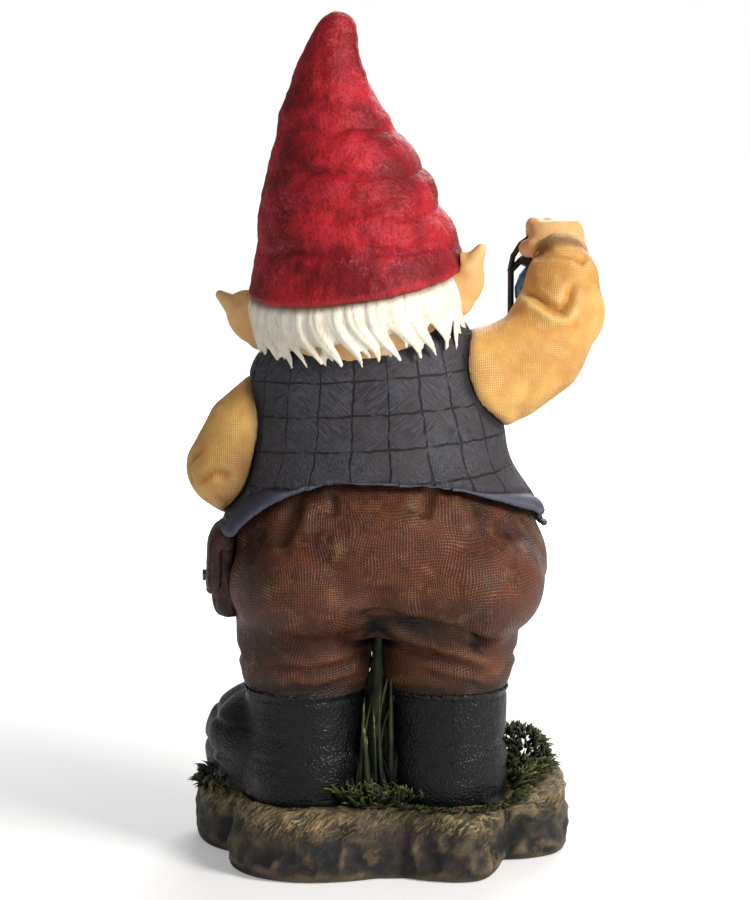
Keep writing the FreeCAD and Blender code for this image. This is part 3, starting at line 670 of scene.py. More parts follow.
EYES = [with_head((HEAD[0] + s * EYE_OUT, EYE_Y, EYE_Z)) for s in (1, -1)]
# nose, cheeks and lower lip as (sideways, y, z, radius, strength)
ROSY = [(0, -60, 248, 12.0, 0.62), (0, -50, 234, 7.0, 0.6)]
ROSY[1:1] = [(side * 19, -48, 247, 13.0, 0.45) for side in (1, -1)]
BLUSH = [(with_head((HEAD[0] + x, y, z)), radius, strength) for x, y, z, radius, strength in ROSY]

# finishes of the sculpted pieces, each with its slot in the record
RED, CREAM = (felt(), "hat_paint"), (hair(), "hair_paint")
SKIN, GOLD = (skin(BLUSH), "skin_paint"), (shirt(), "shirt_paint")
WOOL, BROWN = (vest_cloth(), "vest_paint"), (trouser_cloth(), "trouser_paint")
BLACK, ROCK = (boot_leather(), "boot_paint"), (stone(), "stone_paint")
GREEN, HIDE = (grass(), "grass_paint"), (leather(), "leather_paint")
# finishes of the CAD nodes that are kept as they are
BRASS = plain_paint("brass_dull", (92, 66, 28), (168, 130, 66), 0.42, 2.0, 0.6, 0.0, (212, 180, 110))
STEEL = plain_paint("steel_drawn", (120, 121, 124), (170, 171, 174), 0.35, 1.5, 1.0)
IRON = plain_paint("lantern_black_paint", (12, 12, 15), (30, 31, 36), 0.38, 2.5, 0.0, 0.0, (92, 88, 84))
BLUE = plain_paint("lantern_blue_gloss", (38, 84, 130), (86, 142, 186), 0.16, 5.0, 0.0, 0.8)
WAX = plain_paint("candle_wax", (222, 204, 160), (244, 232, 200), 0.45, 4.0)
EYE = eye_paint(EYES, [(0, -5.2, -0.2)] * 2)


# ------------------------------------------------------------------ stones, boots, grass
def build_stones():
    obj = clay("stones", ["stone_base"], 1.3, 4)
    p, n = read(obj)
    out = np.hypot(p[:, 0], p[:, 1] + 5)
    side = step(np.hypot(n[:, 0], n[:, 1]), 0.2, 0.7)
    outside = step(out, 50, 58) * step(p[:, 2], 2, 6)
    chips = fractal(p, (16, 16, 12), 3, 3) * 3.2 - np.abs(noise(p, (11, 11, 12), 9)) * 2.4 + 0.8
    facets = noise(p, (6, 6, 8), 21) * 1.1 - np.abs(noise(p, (5, 5, 9), 23)) * 0.8
    tops = fractal(p, (10, 10, 9), 31, 3) * 1.8 - np.abs(noise(p, (7, 7, 7), 33)) * 0.8
    lift = outside * side * (chips + facets) + (1 - side) * step(p[:, 2], 24, 30) * tops
    p = p + n * lift[:, None]
    p[:, 2] = np.where(p[:, 2] < 0.2, np.maximum(p[:, 2], 0), p[:, 2])
    write(obj, p)
    # the outer upper rim, where the ochre dry-brushing also paints a highlight
    rim = step(p[:, 2] + 2 * noise(p, 8, 5), 21, 27) * (1 - step(p[:, 2], 32, 37)) * step(out, 52, 66)
    attribute(obj, "edge", rim)
    finish_piece(obj, ROCK, ["stone_base"], 12, ["grass_mat"])


def build_boot(name, side):
    obj = clay(name + "_leather", [name], 0.9, 6)
    p, n = read(obj)
    sole, top = (corner[2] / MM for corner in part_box(name))
    wall = step(np.hypot(n[:, 0], n[:, 1]), 0.3, 0.8)
    lift = fractal(p, (16, 16, 12), 41 + side, 2) * 0.8
    for k, (height, slope, depth) in enumerate(((62, 0.10, 1.1), (55, -0.13, 1.3), (47, 0.08, 0.9))):
        fold = height + slope * (p[:, 0] - side * LEG_X) + 1.6 * noise(p, 14, 51 + k)
        front = step(LEG_Y - p[:, 1], -16, 8)
        lift = lift - depth * (0.25 + front) * np.exp(-(((p[:, 2] - fold) / 2.0) ** 2))
    rim = np.exp(-(((p[:, 2] - (top - 2.4)) / 1.5) ** 2))
    groove = np.exp(-(((p[:, 2] - (top - 5.4)) / 0.9) ** 2))
    lift = lift + 0.7 * rim - 0.5 * groove
    lift = lift - 0.9 * np.exp(-(((p[:, 2] - sole - 7.5) / 0.8) ** 2)) * step(-p[:, 1], -6, 8)
    push(obj, lift * wall)
    attribute(obj, "shade", 0.9 * (1 - step(np.abs(p[:, 0] - 1.3), 6, 16)))
    finish_piece(obj, BLACK, [name], 10, ["trousers", "grass_mat"])


def blade(foot, direction, length, width, bend):
    """A tapered grass blade that stands on a foot point and bends over."""
    direction = direction / np.linalg.norm(direction)
    t = np.linspace(0, 1, 5)[:, None]
    path = foot + direction * length * t + bend * length * t**2
    radii = width * 0.5 * (1 - 0.92 * t[:, 0] ** 1.5)
    return tube(path, radii, 4, 0.38, np.cross(direction, [0.3, 0.2, 0.1]) + [0.01, 0, 0])


def build_grass():
    """Chunky cast grass: short tufts round the boots and tall leaves between them."""
    blades, rises = [], []

    def plant(foot, lean, length, width, bend):
        part = blade(np.array(foot), np.array(lean), length, width, np.array(bend))
        blades.append(part)
        rises.extend(np.repeat(np.linspace(0, 1, 5), 4))

    boots = [(LEG_X, LEG_Y, 28.5), (-LEG_X, LEG_Y, 28.0)]  # x, y, radius
    toes = [(51.3, -14.0, 24, 36), (-37.3, -22.0, 23, 35)]  # x, y and half sizes
    planted = 0
    while planted < 1250:
        a, r = rng.uniform(0, 2 * math.pi), math.sqrt(rng.uniform(0, 1))
        x, y = 74 * r * math.cos(a), -9 + 50 * r * math.sin(a)
        in_shaft = any(math.hypot(x - bx, y - by) < br for bx, by, br in boots)
        in_toe = any(((x - tx) / rx) ** 2 + ((y - ty) / ry) ** 2 < 1 for tx, ty, rx, ry in toes)
        if in_shaft or in_toe:
            continue
        planted += 1
        out = np.array([x, y + 9, 0]) / 60
        plant((x, y, 35.5), out * 0.7 + rng.normal(0, 0.35, 3) + [0, 0, 1.1], rng.uniform(6, 12),
              rng.uniform(1.8, 3.0), (*rng.normal(0, 0.25, 2), -0.25))
    mounds = [((-66, -25, 33), (16, 24, 20), 420), ((75, -10, 31), (10, 16, 9), 170)]
    for centre, radii, count in mounds:
        for _ in range(count):
            d = rng.normal(0, 1, 3)
            d[2] = abs(d[2]) * 0.9 + 0.05
            d /= np.linalg.norm(d)
            foot = np.array(centre) + d * np.array(radii) * 0.97
            lean = d * 0.7 + rng.normal(0, 0.3, 3) + [0, 0, 0.45]
            plant(foot, lean, rng.uniform(4.5, 8), rng.uniform(1.8, 2.8), (0, 0, -0.4))
    for _ in range(230):
        a = rng.uniform(math.radians(-15), math.radians(128))
        r = rng.uniform(28.5, 34.5)
        foot = (-LEG_X - r * math.cos(a), LEG_Y + r * math.sin(a), 31.5)
        lean = (-math.cos(a) * 0.5 + rng.normal(0, 0.3), math.sin(a) * 0.7, 0.8)
        plant(foot, lean, rng.uniform(5, 9), rng.uniform(1.8, 2.8), (0, 0, -0.45))
    for _ in range(150):
        foot = (rng.uniform(-12, 12), rng.uniform(16, 40), 30.5)
        lean = (rng.normal(0, 0.45), rng.uniform(0.1, 0.9), 1.0)
        plant(foot, lean, rng.uniform(7, 15), rng.uniform(2.0, 3.2), (0, 0, -0.3))
    for _ in range(150):
        foot = (rng.uniform(-7, 11), rng.uniform(4, 31), 31)
        lean = (rng.normal(0, 0.1), rng.uniform(-0.22, 0.06), 1.0)
        plant(foot, lean, rng.uniform(14, 82), rng.uniform(2.4, 4.6), (rng.normal(0, 0.09), -0.06, -0.05))
    verts, faces = gather(blades)
    obj = new_object("grass_blades", verts, faces)
    attribute(obj, "rise", rises)
    finish_piece(obj, GREEN, (), 0)


def build_turf(name, cell):
    """The lumpy ground that the blades stand on."""
    obj = clay(name + "_relief", [name], cell, 3)
    push(obj, fractal(read(obj)[0], 6, 61))
    attribute(obj, "rise", 0.3 + 0.3 * noise(read(obj)[0], 4, 63))
    finish_piece(obj, GREEN, [name], 0)


# ------------------------------------------------------------------ trousers
def build_trousers():
    obj = clay("trousers_cloth", ["trousers"], 1.0, 16)
    p, n = read(obj)
    inside = (p[:, 2] > 116) & ((n[:, 0] * (p[:, 0] + 3) + n[:, 1] * p[:, 1]) < 0)
    back = step(n[:, 1], -0.25, 0.35)
    front = step(-n[:, 1], -0.25, 0.35)
    lift = fractal(p, (30, 30, 24), 71, 2) * 1.3
    creases = [  # (path of x, z), width, depth; negative depth raises a fold
        ([(2, 120), (-10, 119.5), (-24, 117), (-40, 111), (-58, 101)], 4.2, 6.5),
        ([(-4, 108), (-20, 104), (-36, 99), (-52, 94)], 2.6, 2.4),
        ([(-8, 112), (-26, 109), (-44, 104), (-56, 98)], 3.0, -1.6),
        ([(-16, 97), (-32, 92), (-50, 88)], 2.4, 1.5),
        ([(3, 116), (16, 112), (28, 110), (44, 112)], 3.4, 2.0),
        ([(2, 104), (14, 99), (34, 96), (52, 98)], 2.4, 1.7),
        ([(10, 104), (30, 101), (50, 103)], 3.2, -1.0),
        ([(6, 92), (26, 88), (46, 90)], 2.2, 1.2),
        ([(1, 104), (1, 116), (0.5, 128)], 7.0, 6.0),
        ([(0, 119), (0.5, 128), (0, 142)], 9.0, 2.6),
        ([(36, 177), (39, 169), (43, 160), (45, 151)], 3.6, 3.4),
        ([(30, 177), (32, 168), (34, 158)], 3.4, -1.8),
        ([(22, 180), (21, 174), (21, 168)], 2.6, 2.4),
        ([(-24, 181), (-22, 175), (-20, 168)], 2.8, 3.0),
        ([(-30, 178), (-36, 170), (-42, 158)], 4.2, -2.0),
        ([(-14, 180), (-12, 172)], 3.0, -1.2),
        ([(52, 164), (57, 154), (60, 144)], 2.6, 1.6),
        ([(-55, 168), (-60, 158), (-66, 148)], 2.6, 1.4),
    ]
    lift = lift + folds(p, creases) * back
    shade = np.zeros(len(p))
    for path, width, _ in creases[:1] + creases[8:9]:  # the two deepest, below the seat
        shade = np.maximum(shade, near_path(p, path, width * 1.9, taper=0.06))
    shade = shade * back * (1 - step(np.abs(p[:, 0]), 10, 48))
    front_creases = [
        ([(4, 116), (20, 126), (40, 132)], 3.0, 2.2),
        ([(-6, 116), (-24, 125), (-44, 130)], 3.0, 2.2),
        ([(0, 116), (0, 140)], 2.0, 1.6),
        ([(14, 100), (36, 96), (54, 99)], 2.6, 2.0),
        ([(-14, 101), (-34, 95), (-54, 98)], 2.6, 2.0),
        ([(16, 92), (38, 89), (54, 91)], 2.2, 1.5),
        ([(-16, 90), (-40, 88), (-54, 92)], 2.2, 1.5),
    ]
    lift = lift + folds(p, front_creases) * front
    side_creases = [([(-20, 104), (0, 98), (24, 100)], 2.6, 2.0)]
    side_creases += [([(-16, 94), (4, 90), (22, 93)], 2.6, 1.4)]
    lift = lift + folds(p, side_creases, (1, 2)) * step(np.abs(n[:, 0]), 0.2, 0.7)
    lift = lift + np.exp(-(((p[:, 2] - 83.5) / 2.6) ** 2))  # the rolled leg ends
    lift[inside] = 0
    push(obj, lift)
    p, _ = read(obj)
    write(obj, relaxed(p, edges_of(obj), 1, 0.4))
    between = np.exp(-(((p[:, 0] - 1.3) / 7.0) ** 2)) * (1 - step(p[:, 2], 112, 124))
    attribute(obj, "shade", np.maximum(shade, 0.9 * between))
    touching = ["vest", "boot_left", "boot_right", "pouch_bag"]
    finish_piece(obj, BROWN, ["trousers"], 16, touching)


# ------------------------------------------------------------------ vest and shirt
# the hem's height across the back
HEM_X = [-90, -77, -70, -55, -38, 0, 34, 49, 62, 71]
HEM_Z = [140, 160, 166.5, 173, 179, 183, 180, 172, 161, 148]
CHECK_TURN = 17.0  # degrees between upright lines of the check
CHECK_STEP = 15.6  # height of a square


def build_vest():
    obj = clay("vest_cloth", ["vest"], 0.85, 4)
    p, n = read(obj)
    back = step(p[:, 1], -4, 4)
    radial = n[:, 0] * (p[:, 0] - 2) / 1.6 + n[:, 1] * p[:, 1]
    outer = step(radial, 0.0, 12.0)
    hem_z = np.interp(p[:, 0], HEM_X, HEM_Z) * back + 156 * (1 - back)
    above = p[:, 2] - hem_z
    corner = step(np.abs(p[:, 0] + 2), 38, 66)
    lip = 1.9 + 3.6 * corner * back + 5.0 * step(p[:, 0], 34, 62) * back
    hem = (1 - step(above, lip * 0.8, lip * 1.15)) * outer
    roll = np.sin(np.clip(above / lip, 0, 1) * math.pi) * hem
    groove = np.exp(-(((above - lip * 1.15) / 0.9) ** 2)) * outer
    lift = roll * (0.9 + 1.2 * corner) - groove * 0.9
    lift = lift + fractal(p, (22, 22, 18), 81, 2) * 0.8 * outer
    sag = [([(40, 196), (20, 188), (-10, 186)], 3.5, 0.9)]
    sag += [([(-50, 190), (-38, 200), (-30, 214)], 3.5, -0.9)]
    push(obj, lift + folds(p, sag) * back * outer)
    p, _ = read(obj)
    turn = np.degrees(np.arctan2((p[:, 0] - 3) / 1.32, p[:, 1]))
    attribute(obj, "check_u", (turn + 7.4) / CHECK_TURN)
    attribute(obj, "check_v", (p[:, 2] - 229.0 + 0.06 * p[:, 0]) / CHECK_STEP)
    attribute(obj, "hem", hem)
    touching = ["sleeve_left", "sleeve_right", "hair_fringe", "beard"]
    finish_piece(obj, WOOL, ["vest"], 10, touching)


def build_armhole_stitches():
    """Short dark thread runs standing along the back edge of the right armhole."""
    back = surface_of("vest")
    parts = []
    marks = [(-37.5, 251), (-39.5, 245.5), (-41.2, 240), (-42.8, 234.5), (-44.4, 229), (-46.0, 223.5)]
    for x, z in marks + [(2 * 6 - x + 4, z - 12) for x, z in marks[1:5]]:
        lean = -0.28 if x < 0 else 0.28
        path = []
        for along, lift in ((2.2, -0.1), (0.0, 0.3), (-2.2, -0.1)):
            far = Vector((x - lean * along, 100.0, z + along))
            hit = back.ray_cast(far * MM, Vector((0, -1, 0)), 0.1)[0]
            if hit is not None:
                path.append((far.x, hit.y / MM + lift, far.z))
        if len(path) == 3 and abs(path[0][1] - path[2][1]) < 3:
            parts.append(tube(path, [0.35, 0.62, 0.35], 8))
    obj = new_object("vest_stitches", *gather(parts))
    finish_piece(obj, HIDE, (), 0)


def build_shirt_body():
    obj = clay("shirt_front", ["shirt_body"], 1.2, 4)
    p, n = read(obj)
    front = step(-n[:, 1], 0.0, 0.4)
    lift = fractal(p, (14, 14, 26), 91, 2) * 1.2 * front
    creases = [([(8, 214), (2, 204), (6, 192)], 2.2, 1.6), ([(16, 210), (20, 198), (16, 186)], 2.2, 1.6)]
    creases += [([(-6, 206), (-12, 196), (-8, 184)], 2.2, 1.6)]
    seam = [([(6, 250), (6, 176)], 0.9, 1.0)]
    push(obj, lift + (folds(p, creases) + folds(p, seam, taper=0.02)) * front)
    finish_piece(obj, GOLD, ["shirt_body"], 10)


def build_sleeve_right():
    obj = clay("sleeve_right_cloth", ["sleeve_right"], 0.85, 14)
    p, n = read(obj)
    elbow = [
        ([(-62, 266), (-70, 264), (-77, 259.5), (-83, 257.5), (-87, 262), (-89, 271)], 2.6, 3.0),
        ([(-64, 261), (-72, 258), (-79, 253), (-86, 252.5), (-92, 259)], 2.8, -1.6),
    ]
    wrist = [([(-70, 279), (-78, 282), (-90, 281), (-97, 277)], 2.2, 1.8)]
    behind = [
        ([(-70, 271), (-78, 273), (-84, 270)], 3.0, -1.0),
        ([(-90, 222), (-98, 232), (-101, 244)], 3.0, 1.5),
        ([(-60, 206), (-68, 216), (-70, 228)], 3.2, 1.4),
    ]
    before = [([(-62, 240), (-66, 248), (-66, 258)], 2.6, 2.0)]
    before += [([(-100, 246), (-92, 240), (-82, 240)], 2.4, 1.6)]
    back = folds(p, elbow, taper=0.18) + folds(p, wrist, taper=0.1) + folds(p, behind)
    lift = fractal(p, (17, 17, 17), 101, 2) * 0.9
    lift = lift + back * step(n[:, 1], -0.2, 0.4) + folds(p, before) * step(-n[:, 1], -0.1, 0.4)
    push(obj, lift)
    finish_piece(obj, GOLD, ["sleeve_right"], 14, ["vest", "cuff_right"])


def build_sleeve_left():
    obj = clay("sleeve_left_cloth", ["sleeve_left"], 0.85, 14)
    p, n = read(obj)
    outside = [
        ([(14, 196), (6, 186), (8, 174)], 2.6, 2.0),
        ([(-12, 196), (-6, 184), (-14, 176)], 2.6, 2.4),
        ([(-26, 186), (-24, 176), (-28, 166)], 2.6, 1.6),
    ]
    behind = [([(86, 178), (76, 184), (66, 182)], 2.6, 1.6), ([(84, 168), (74, 170), (64, 166)], 2.4, 1.4)]
    lift = fractal(p, (17, 17, 17), 111, 2) * 0.9 + folds(p, outside, (1, 2)) * step(n[:, 0], 0.0, 0.5)
    push(obj, lift + folds(p, behind) * step(n[:, 1], 0.0, 0.5))
    x, y, z = read(obj)[0].T
    attribute(obj, "shade", 0.75 * (1 - step(x, 60, 80)) * (1 - step(z, 186, 214)) * step(y, -14, 4))
    finish_piece(obj, GOLD, ["sleeve_left"], 14, ["vest", "trousers"])


# ------------------------------------------------------------------ hat
FOLD_STEP = 18.5


def build_hat():
    obj = clay("hat_felt", ["hat"], 0.9, 8)
    p, n = read(obj)
    out = n[:, 0] * (p[:, 0] - 14) + n[:, 1] * (p[:, 1] + 3)
    outer = step(out, 0.0, 6.0)
    tilt = -math.tan(math.radians(8)) * (p[:, 0] - 10) - 0.11 * (p[:, 1] - 46)
    lower = p[:, 2] - tilt - 266.5
    angle = np.arctan2(p[:, 0] - 15, p[:, 1] + 3)
    slant = -0.055 * (p[:, 0] - 15) + 2.2 * np.sin(2 * angle + 0.6) + 2.4 * noise(p, 26, 141)
    phase = (p[:, 2] - 340.0 - slant) / FOLD_STEP
    saw = phase - np.floor(phase)
    roll = np.sin(np.pi * saw) ** 0.8 - 0.62
    belt = step(p[:, 2], 276, 294) * (1 - step(p[:, 2], 344, 356))
    strength = 0.85 + 0.75 * noise(p, 30, 143)
    lift = 1.9 * roll * belt * strength
    lift = lift + fractal(p, (13, 13, 9), 145, 3) * 1.3 * step(lower, 4, 14)
    lift = lift + noise(p, 3.2, 149) * 0.28
    dents = [
        ([(55, 282), (40, 286), (22, 284)], 2.4, 1.8),
        ([(-30, 292), (-10, 286), (12, 290)], 2.4, 1.6),
        ([(30, 300), (12, 303), (-14, 309)], 2.4, 2.0),
        ([(38, 321), (18, 322), (-4, 318)], 2.4, 1.7),
    ]
    lift = lift + folds(p, dents) * step(n[:, 1], 0, 0.4)
    rim = np.exp(-((lower / 2.2) ** 2))
    lift = lift + 0.9 * rim + 0.7 * fractal(p, (12, 12, 30), 147, 2) * (1 - step(lower, 2, 9))
    push(obj, lift * outer)
    finish_piece(obj, RED, ["hat"], 16, ["hair_fringe", "ear_left", "ear_right"])


# ------------------------------------------------------------------ head
def build_head():
    lids = []
    for centre in [(HEAD[0] + s * EYE_OUT, EYE_Y, EYE_Z) for s in (1, -1)]:
        for rise, r in ((36, 1.4), (-33, 1.2)):
            a = np.radians(np.linspace(-78, 78, 13))
            e = np.radians(rise) * np.cos(a * 1.15)
            ring = np.stack([np.sin(a) * np.cos(e), -np.cos(a) * np.cos(e), np.sin(e)], 1) * 5.6
            path = with_head(np.array(centre) + ring)
            lids.append(new_object("lid", *tube(path, r * (0.55 + 0.45 * np.cos(a)), 8)))
    obj = clay("head_skin", ["head"], 0.7, 3, lids)
    p, n = read(obj)
    up = (p - HEAD) @ HEAD_POSE + HEAD
    face = step(-n[:, 1], -0.1, 0.3) * step(-p[:, 1], 20, 30)
    lift = noise(p, 6, 151) * 0.2
    creases = [  # beside the nose, under the eye and at its outer corner, sideways from the middle
        ([(8, 250), (13, 245), (15, 239)], 1.5, 0.7),
        ([(8, 250.5), (14, 249), (20, 250.5)], 1.1, 0.5),
        ([(20, 258), (26, 257)], 0.9, 0.6),
    ]
    for side in (1, -1):
        here = np.stack([(up[:, 0] - HEAD[0]) * side, up[:, 1], up[:, 2]], 1)
        nostril = 0.9 * np.exp(-(((here[:, 0] - 4) / 1.6) ** 2 + ((here[:, 2] - 242.4) / 1.4) ** 2))
        lift = lift + (folds(here, creases) - nostril) * face
    push(obj, lift)
    finish_piece(obj, SKIN, ["head"], 12)


def skull_radius(skull, turn, height):
    """How far the head reaches from its upright axis at a turn from the back and a height."""
    out = np.array([math.sin(turn), math.cos(turn), 0.0])
    far = with_head(np.array([HEAD[0], HEAD[1], height]) + out * 90)
    hit = skull.ray_cast(far * MM, -(HEAD_POSE @ out), 90 * MM)
    return 90 - hit[3] / MM if hit[3] is not None else 0.0


def build_hair():
    """S-shaped locks of three or four strands that fall from under the hat and curl at their tips."""
    parts = []
    skull = surface_of("head")
    count, spread = 15, math.radians(158)
    for layer, (end, above, thick) in enumerate(((241.0, 0.6, 2.2), (238.0, 1.8, 2.0))):
        for k in range(count):
            a = -spread / 2 + spread * (k + 0.5 * layer + rng.uniform(-0.12, 0.12)) / count
            tip = end + 4.5 * math.sin(a) - 2.0 * math.cos(a) + rng.uniform(-1.6, 2.0)
            sway = 0.085 * (1 if rng.uniform() < 0.75 else -1)
            waves = rng.uniform(1.3, 1.7)
            strands = 4 if layer else 3
            for j in range(strands):
                side = (j - (strands - 1) / 2) / strands
                t = np.linspace(0, 1, 14)
                gathered = side * (0.125 - 0.105 * t**1.6)
                bend = sway * (np.sin(t * math.pi * waves) * (0.4 + 0.6 * t) - 0.5 * t**2)
                turn = a + gathered + bend
                start = 268.5 + 6.5 * max(0.0, math.sin(a)) ** 2  # just under the tilted rim
                z = start + (tip + rng.uniform(-1.0, 1.0) + 2.0 * abs(side) - start) * t
                r = np.array([skull_radius(skull, b, h) for b, h in zip(turn, z)])
                r = np.maximum(r, 46.6) + above - 3.0 * np.clip(1 - t / 0.25, 0, 1) + rng.uniform(-0.4, 0.4)
                path = np.stack([HEAD[0] + r * np.sin(turn), HEAD[1] + r * np.cos(turn), z], 1)
                size = thick * rng.uniform(0.85, 1.1) * np.clip(1.08 - t**3, 0.2, 1)
                out = np.stack([np.sin(turn), np.cos(turn), 0 * turn], 1) @ HEAD_POSE.T
                parts.append(tube(with_head(path), size, 10, 0.85, out))
    locks = new_object("locks", *gather(parts))
    under = copy_nodes("under", ["hair_fringe"])
    p, n = read(under)
    write(under, p - n * 0.3)
    obj = clay("hair_locks", [], 0.55, 1, [under, locks])
    finish_piece(obj, CREAM, ["hair_fringe"], 8, ["hat"])


def surface_front(p, x, z):
    """The frontmost y of a mesh near a place, or nothing."""
    close = (np.abs(p[:, 0] - x) < 3) & (np.abs(p[:, 2] - z) < 3)
    return p[close, 1].min() if close.any() else None


def build_beard():
    """Wavy locks over the beard's body, parted under the mouth and drawn to a soft point."""
    p, _ = read(NODES["beard"])
    parts = []
    for count, lift, thick, low in ((15, 0.4, 3.1, 0), (12, 1.8, 2.5, 12)):
        for k in range(count):
            u = -1 + 2 * (k + 0.5 + rng.uniform(-0.25, 0.25)) / count
            t = np.linspace(0, 1, 14)
            x0, x1 = HEAD[0] + 36 * u, HEAD[0] + 7 * u
            z0, z1 = 243 + 6 * abs(u), 184 + low + 40 * abs(u) ** 1.4 + rng.uniform(-2, 4)
            wave = 2.4 * np.sin(t * math.pi * rng.uniform(2.0, 3.0) + rng.uniform(0, 6)) * (0.3 + t)
            xs = x0 + (x1 - x0) * t**1.2 + wave
            zs = z0 + (z1 - z0) * t
            path = []
            for x, z in with_head(np.stack([xs, 0 * xs - 52, zs], 1))[:, [0, 2]]:
                y = surface_front(p, x, z)
                if y is None:
                    y = path[-1][1] if path else -40
                path.append((x, y - lift, z))
            path = np.array(path)
            path[1:-1, 1] = (path[:-2, 1] + path[1:-1, 1] + path[2:, 1]) / 3
            size = thick * np.clip(1.1 - t**2, 0.15, 1) * rng.uniform(0.85, 1.15)
            parts.append(tube(path, size, 10, 0.75, (0, -1, 0)))
    obj = clay("beard_locks", ["beard"], 0.6, 1, [new_object("locks", *gather(parts))])
    p, n = read(obj)
    up = (p - HEAD) @ HEAD_POSE + HEAD
    half = np.interp(up[:, 2], [184, 215, 246], [8, 24, 40])
    drift = 0.45 * np.sin(up[:, 2] / 5.5 + up[:, 0] / 9) + 0.5 * noise(up, 12, 181)
    groove = 1 - np.abs(np.sin(math.pi * ((up[:, 0] - HEAD[0]) / half * 9 + drift))) ** 0.7
    push(obj, -1.1 * groove * step(-n[:, 1], -0.2, 0.4))
    finish_piece(obj, CREAM, ["beard"], 7)


def build_moustache():
    parts = []
    for side in (1, -1):
        for k in range(6):
            h = (k - 2.5) / 2.5
            t = np.linspace(0, 1, 14)
            x = HEAD[0] + side * (1.5 + 31 * t)
            z = 240.5 + 4.6 * h * (1 - t**2) - 6.5 * np.sin(t * math.pi * 0.62) + 5.0 * t**3 + h
            z = z + 0.5 * np.sin(t * 9 + 2 * k)
            y = -65.2 + 3.4 * h * h + 14 * t**1.8
            size = 1.75 * np.clip(1.1 - t**2.2, 0.2, 1) * (0.5 + 0.5 * np.minimum(t * 5 + 0.3, 1))
            parts.append(tube(with_head(np.stack([x, y, z], 1)), size, 10, 0.9, (0, -1, 0)))
    obj = clay("moustache_locks", ["moustache"], 0.5, 1, [new_object("locks", *gather(parts))])
    finish_piece(obj, CREAM, ["moustache"], 8)


def build_eyebrows():
    parts = []
    for side in (1, -1):
        for k in range(10):
            s = k / 9
            t = np.linspace(0, 1, 7)
            x = HEAD[0] + side * (7 + 15 * s + 8.5 * t)
            z = 264.6 + 3.0 * math.sin(s * 2.4) + 2.4 * np.sin(t * 1.8) - 3.4 * t * s
            y = -53.8 + 6.2 * s + 3.6 * t
            size = 1.5 * np.clip(1.1 - t**2, 0.25, 1)
            parts.append(tube(with_head(np.stack([x, y, z], 1)), size, 8, 0.9, (0, -1, 0)))
    obj = clay("eyebrow_locks", ["eyebrows"], 0.5, 1, [new_object("locks", *gather(parts))])
    finish_piece(obj, CREAM, ["eyebrows"], 6)


# ------------------------------------------------------------------ pouch and small parts
def build_pouch():
    bag = clay("pouch_leather", ["pouch_bag"], 0.6, 5)
    p, n = read(bag)
    low, high = (np.array(c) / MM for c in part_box("pouch_bag"))
    lift = fractal(p, 9, 161, 3) * 0.9
    for k in range(4):
        y = low[1] + (high[1] - low[1]) * (0.2 + 0.2 * k)
        lift = lift - 0.8 * near_path(p, [(y, low[2]), (y + 1.5 * (k - 1.5), low[2] + 12)], 1.3, (1, 2))
    push(bag, lift)
    finish_piece(bag, HIDE, ["pouch_bag"], 10)
    flap = clay("pouch_flap_leather", ["pouch_flap"], 0.6, 4)
    p, n = read(flap)
    low, high = (np.array(c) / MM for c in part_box("pouch_flap"))
    inset = 2.4
    border = [(low[1] + inset, high[2] - 3), (low[1] + inset, low[2] + 3), (low[1] + 8, low[2] + inset)]
    border += [(high[1] - 8, low[2] + inset), (high[1] - inset, low[2] + 3), (high[1] - inset, high[2] - 3)]
    seam = folds(p, [(border, 0.6, 0.7)], (1, 2), 0.02) * step(n[:, 0], 0.3, 0.6)
    push(flap, fractal(p, 9, 171) * 0.5 + seam)
    finish_piece(flap, HIDE, ["pouch_flap"], 8)


def paint_nodes():
    """Gives the carried-over CAD nodes their finishes."""
    finishes = {
        "lantern_base": IRON, "lantern_cap": IRON, "lantern_frame": IRON, "lantern_bail": IRON,
        "lantern_globe": BLUE, "lantern_candle": WAX, "eyes": EYE, "base_plate": ROCK[0],
        "belt_buckle": BRASS, "pouch_stud": BRASS, "vest_buttons": BRASS, "belt": HIDE[0],
    }
    finishes.update({name: STEEL for name in NODES if "rod" in name or "pin" in name})
    for name, material in finishes.items():
        NODES[name].data.materials.clear()
        NODES[name].data.materials.append(material)


# ------------------------------------------------------------------ studio
def area_light(name, place, target, size, power, colour=(1, 1, 1)):
    data = bpy.data.lights.new(name, "AREA")
    data.size = size
    data.energy = power
    data.color = colour
    obj = bpy.data.objects.new(name, data)
    obj.location = place
    obj.rotation_euler = (Vector(target) - Vector(place)).to_track_quat("-Z", "Y").to_euler()
    bpy.context.scene.collection.objects.link(obj)


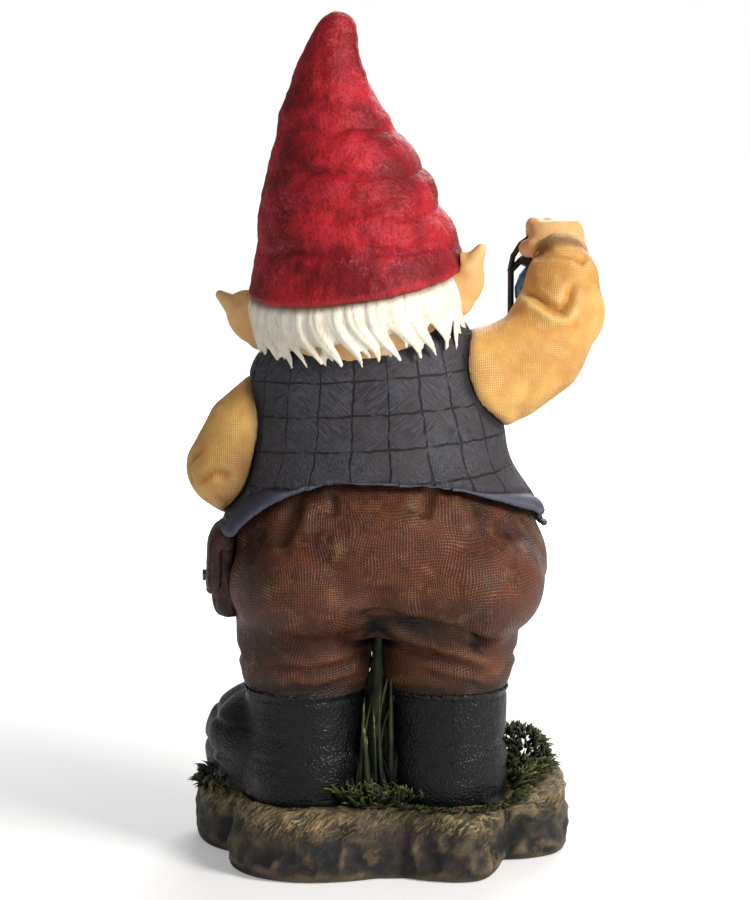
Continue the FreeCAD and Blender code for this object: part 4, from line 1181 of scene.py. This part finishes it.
def build_studio():
    corners = np.array([(-1, -1, 0), (1, -1, 0), (1, 1, 0), (-1, 1, 0)])
    floor = new_object("floor", corners * 6000, [(0, 1, 2, 3)])
    p = Paint("floor_pale")
    tone = p.noise(60, 3.0)
    away = p.add("ShaderNodeVectorMath", {0: p.place}, operation="LENGTH").outputs["Value"]
    p.put((255, 255, 255), p.bsdf.inputs["Emission Color"])
    seen = p.add("ShaderNodeLightPath").outputs["Is Camera Ray"]
    p.put(p.times(seen, p.span(away, 0.1, 0.9, 0.25, 0.85)), p.bsdf.inputs["Emission Strength"])
    p.bump(tone, 0.1)
    floor.data.materials.append(p.done(p.mix(tone, (238.6, 238.6, 238.6), (243.4, 243.4, 243.4)), 0.9, 0.1))
    world = bpy.data.worlds.new("studio")
    world.use_nodes = True
    links, nodes = world.node_tree.links, world.node_tree.nodes
    seen = nodes.new("ShaderNodeLightPath").outputs["Is Camera Ray"]
    glow = nodes.new("ShaderNodeMapRange")
    glow.inputs[3].default_value, glow.inputs[4].default_value = 0.24, 1.0  # lighting, backdrop
    links.new(seen, glow.inputs[0])
    links.new(glow.outputs[0], nodes["Background"].inputs[1])
    nodes["Background"].inputs[0].default_value = (1, 1, 1, 1)
    bpy.context.scene.world = world
    middle = (0, 0, 0.2)
    area_light("key", (-1.05, 0.85, 0.95), middle, 0.55, 25, (1.0, 0.97, 0.93))
    area_light("fill", (0.5, 1.6, 0.5), middle, 1.0, 2.0, (0.94, 0.96, 1.0))
    area_light("front", (-0.3, -1.4, 0.9), middle, 1.0, 18)
    bpy.context.scene.view_settings.view_transform = "Standard"


CAMERA_AWAY = 1.35  # metres behind the gnome
CAMERA_HEIGHT = 0.40
AIM = (0.0018, 0.0, 0.1915)
FRAME_HEIGHT = 0.416  # metres of the object's middle plane that the picture is tall


def build_camera():
    data = bpy.data.cameras.new("camera")
    data.sensor_fit = "VERTICAL"
    data.sensor_height = 24.0
    place = Vector((AIM[0], CAMERA_AWAY, CAMERA_HEIGHT))
    away = (Vector(AIM) - place).length
    data.lens = data.sensor_height / 2 / (FRAME_HEIGHT / 2 / away)
    obj = bpy.data.objects.new("camera", data)
    obj.location = place
    obj.rotation_euler = (Vector(AIM) - place).to_track_quat("-Z", "Y").to_euler()
    bpy.context.scene.collection.objects.link(obj)
    bpy.context.scene.camera = obj


build_stones()
for boot_name, boot_side in (("boot_left", 1), ("boot_right", -1)):
    build_boot(boot_name, boot_side)
build_turf("grass_mat", 1.0)
build_turf("grass_clump", 0.8)
build_grass()
build_trousers()
soft_copy("pocket_flap", "pocket_flap_cloth", BROWN, 3, 5, 77, 0.5, 8)
build_vest()
build_armhole_stitches()
build_shirt_body()
build_sleeve_right()
build_sleeve_left()
for which in ("_left", "_right"):
    cuff, hand, ear = "cuff" + which, "hand" + which, "ear" + which
    soft_copy(cuff, cuff + "_cloth", GOLD, 4, (9, 5, 5), 121, 0.7, 8)
    soft_copy(hand, hand + "_skin", SKIN, 5, 5, 131, 0.25, 12, 0.55)
    soft_copy(ear, ear + "_skin", SKIN, 8, 9, 0, 0.0, 14, 0.5)
build_hat()
build_head()
build_hair()
build_beard()
build_moustache()
build_eyebrows()
build_pouch()
paint_nodes()
build_studio()
build_camera()
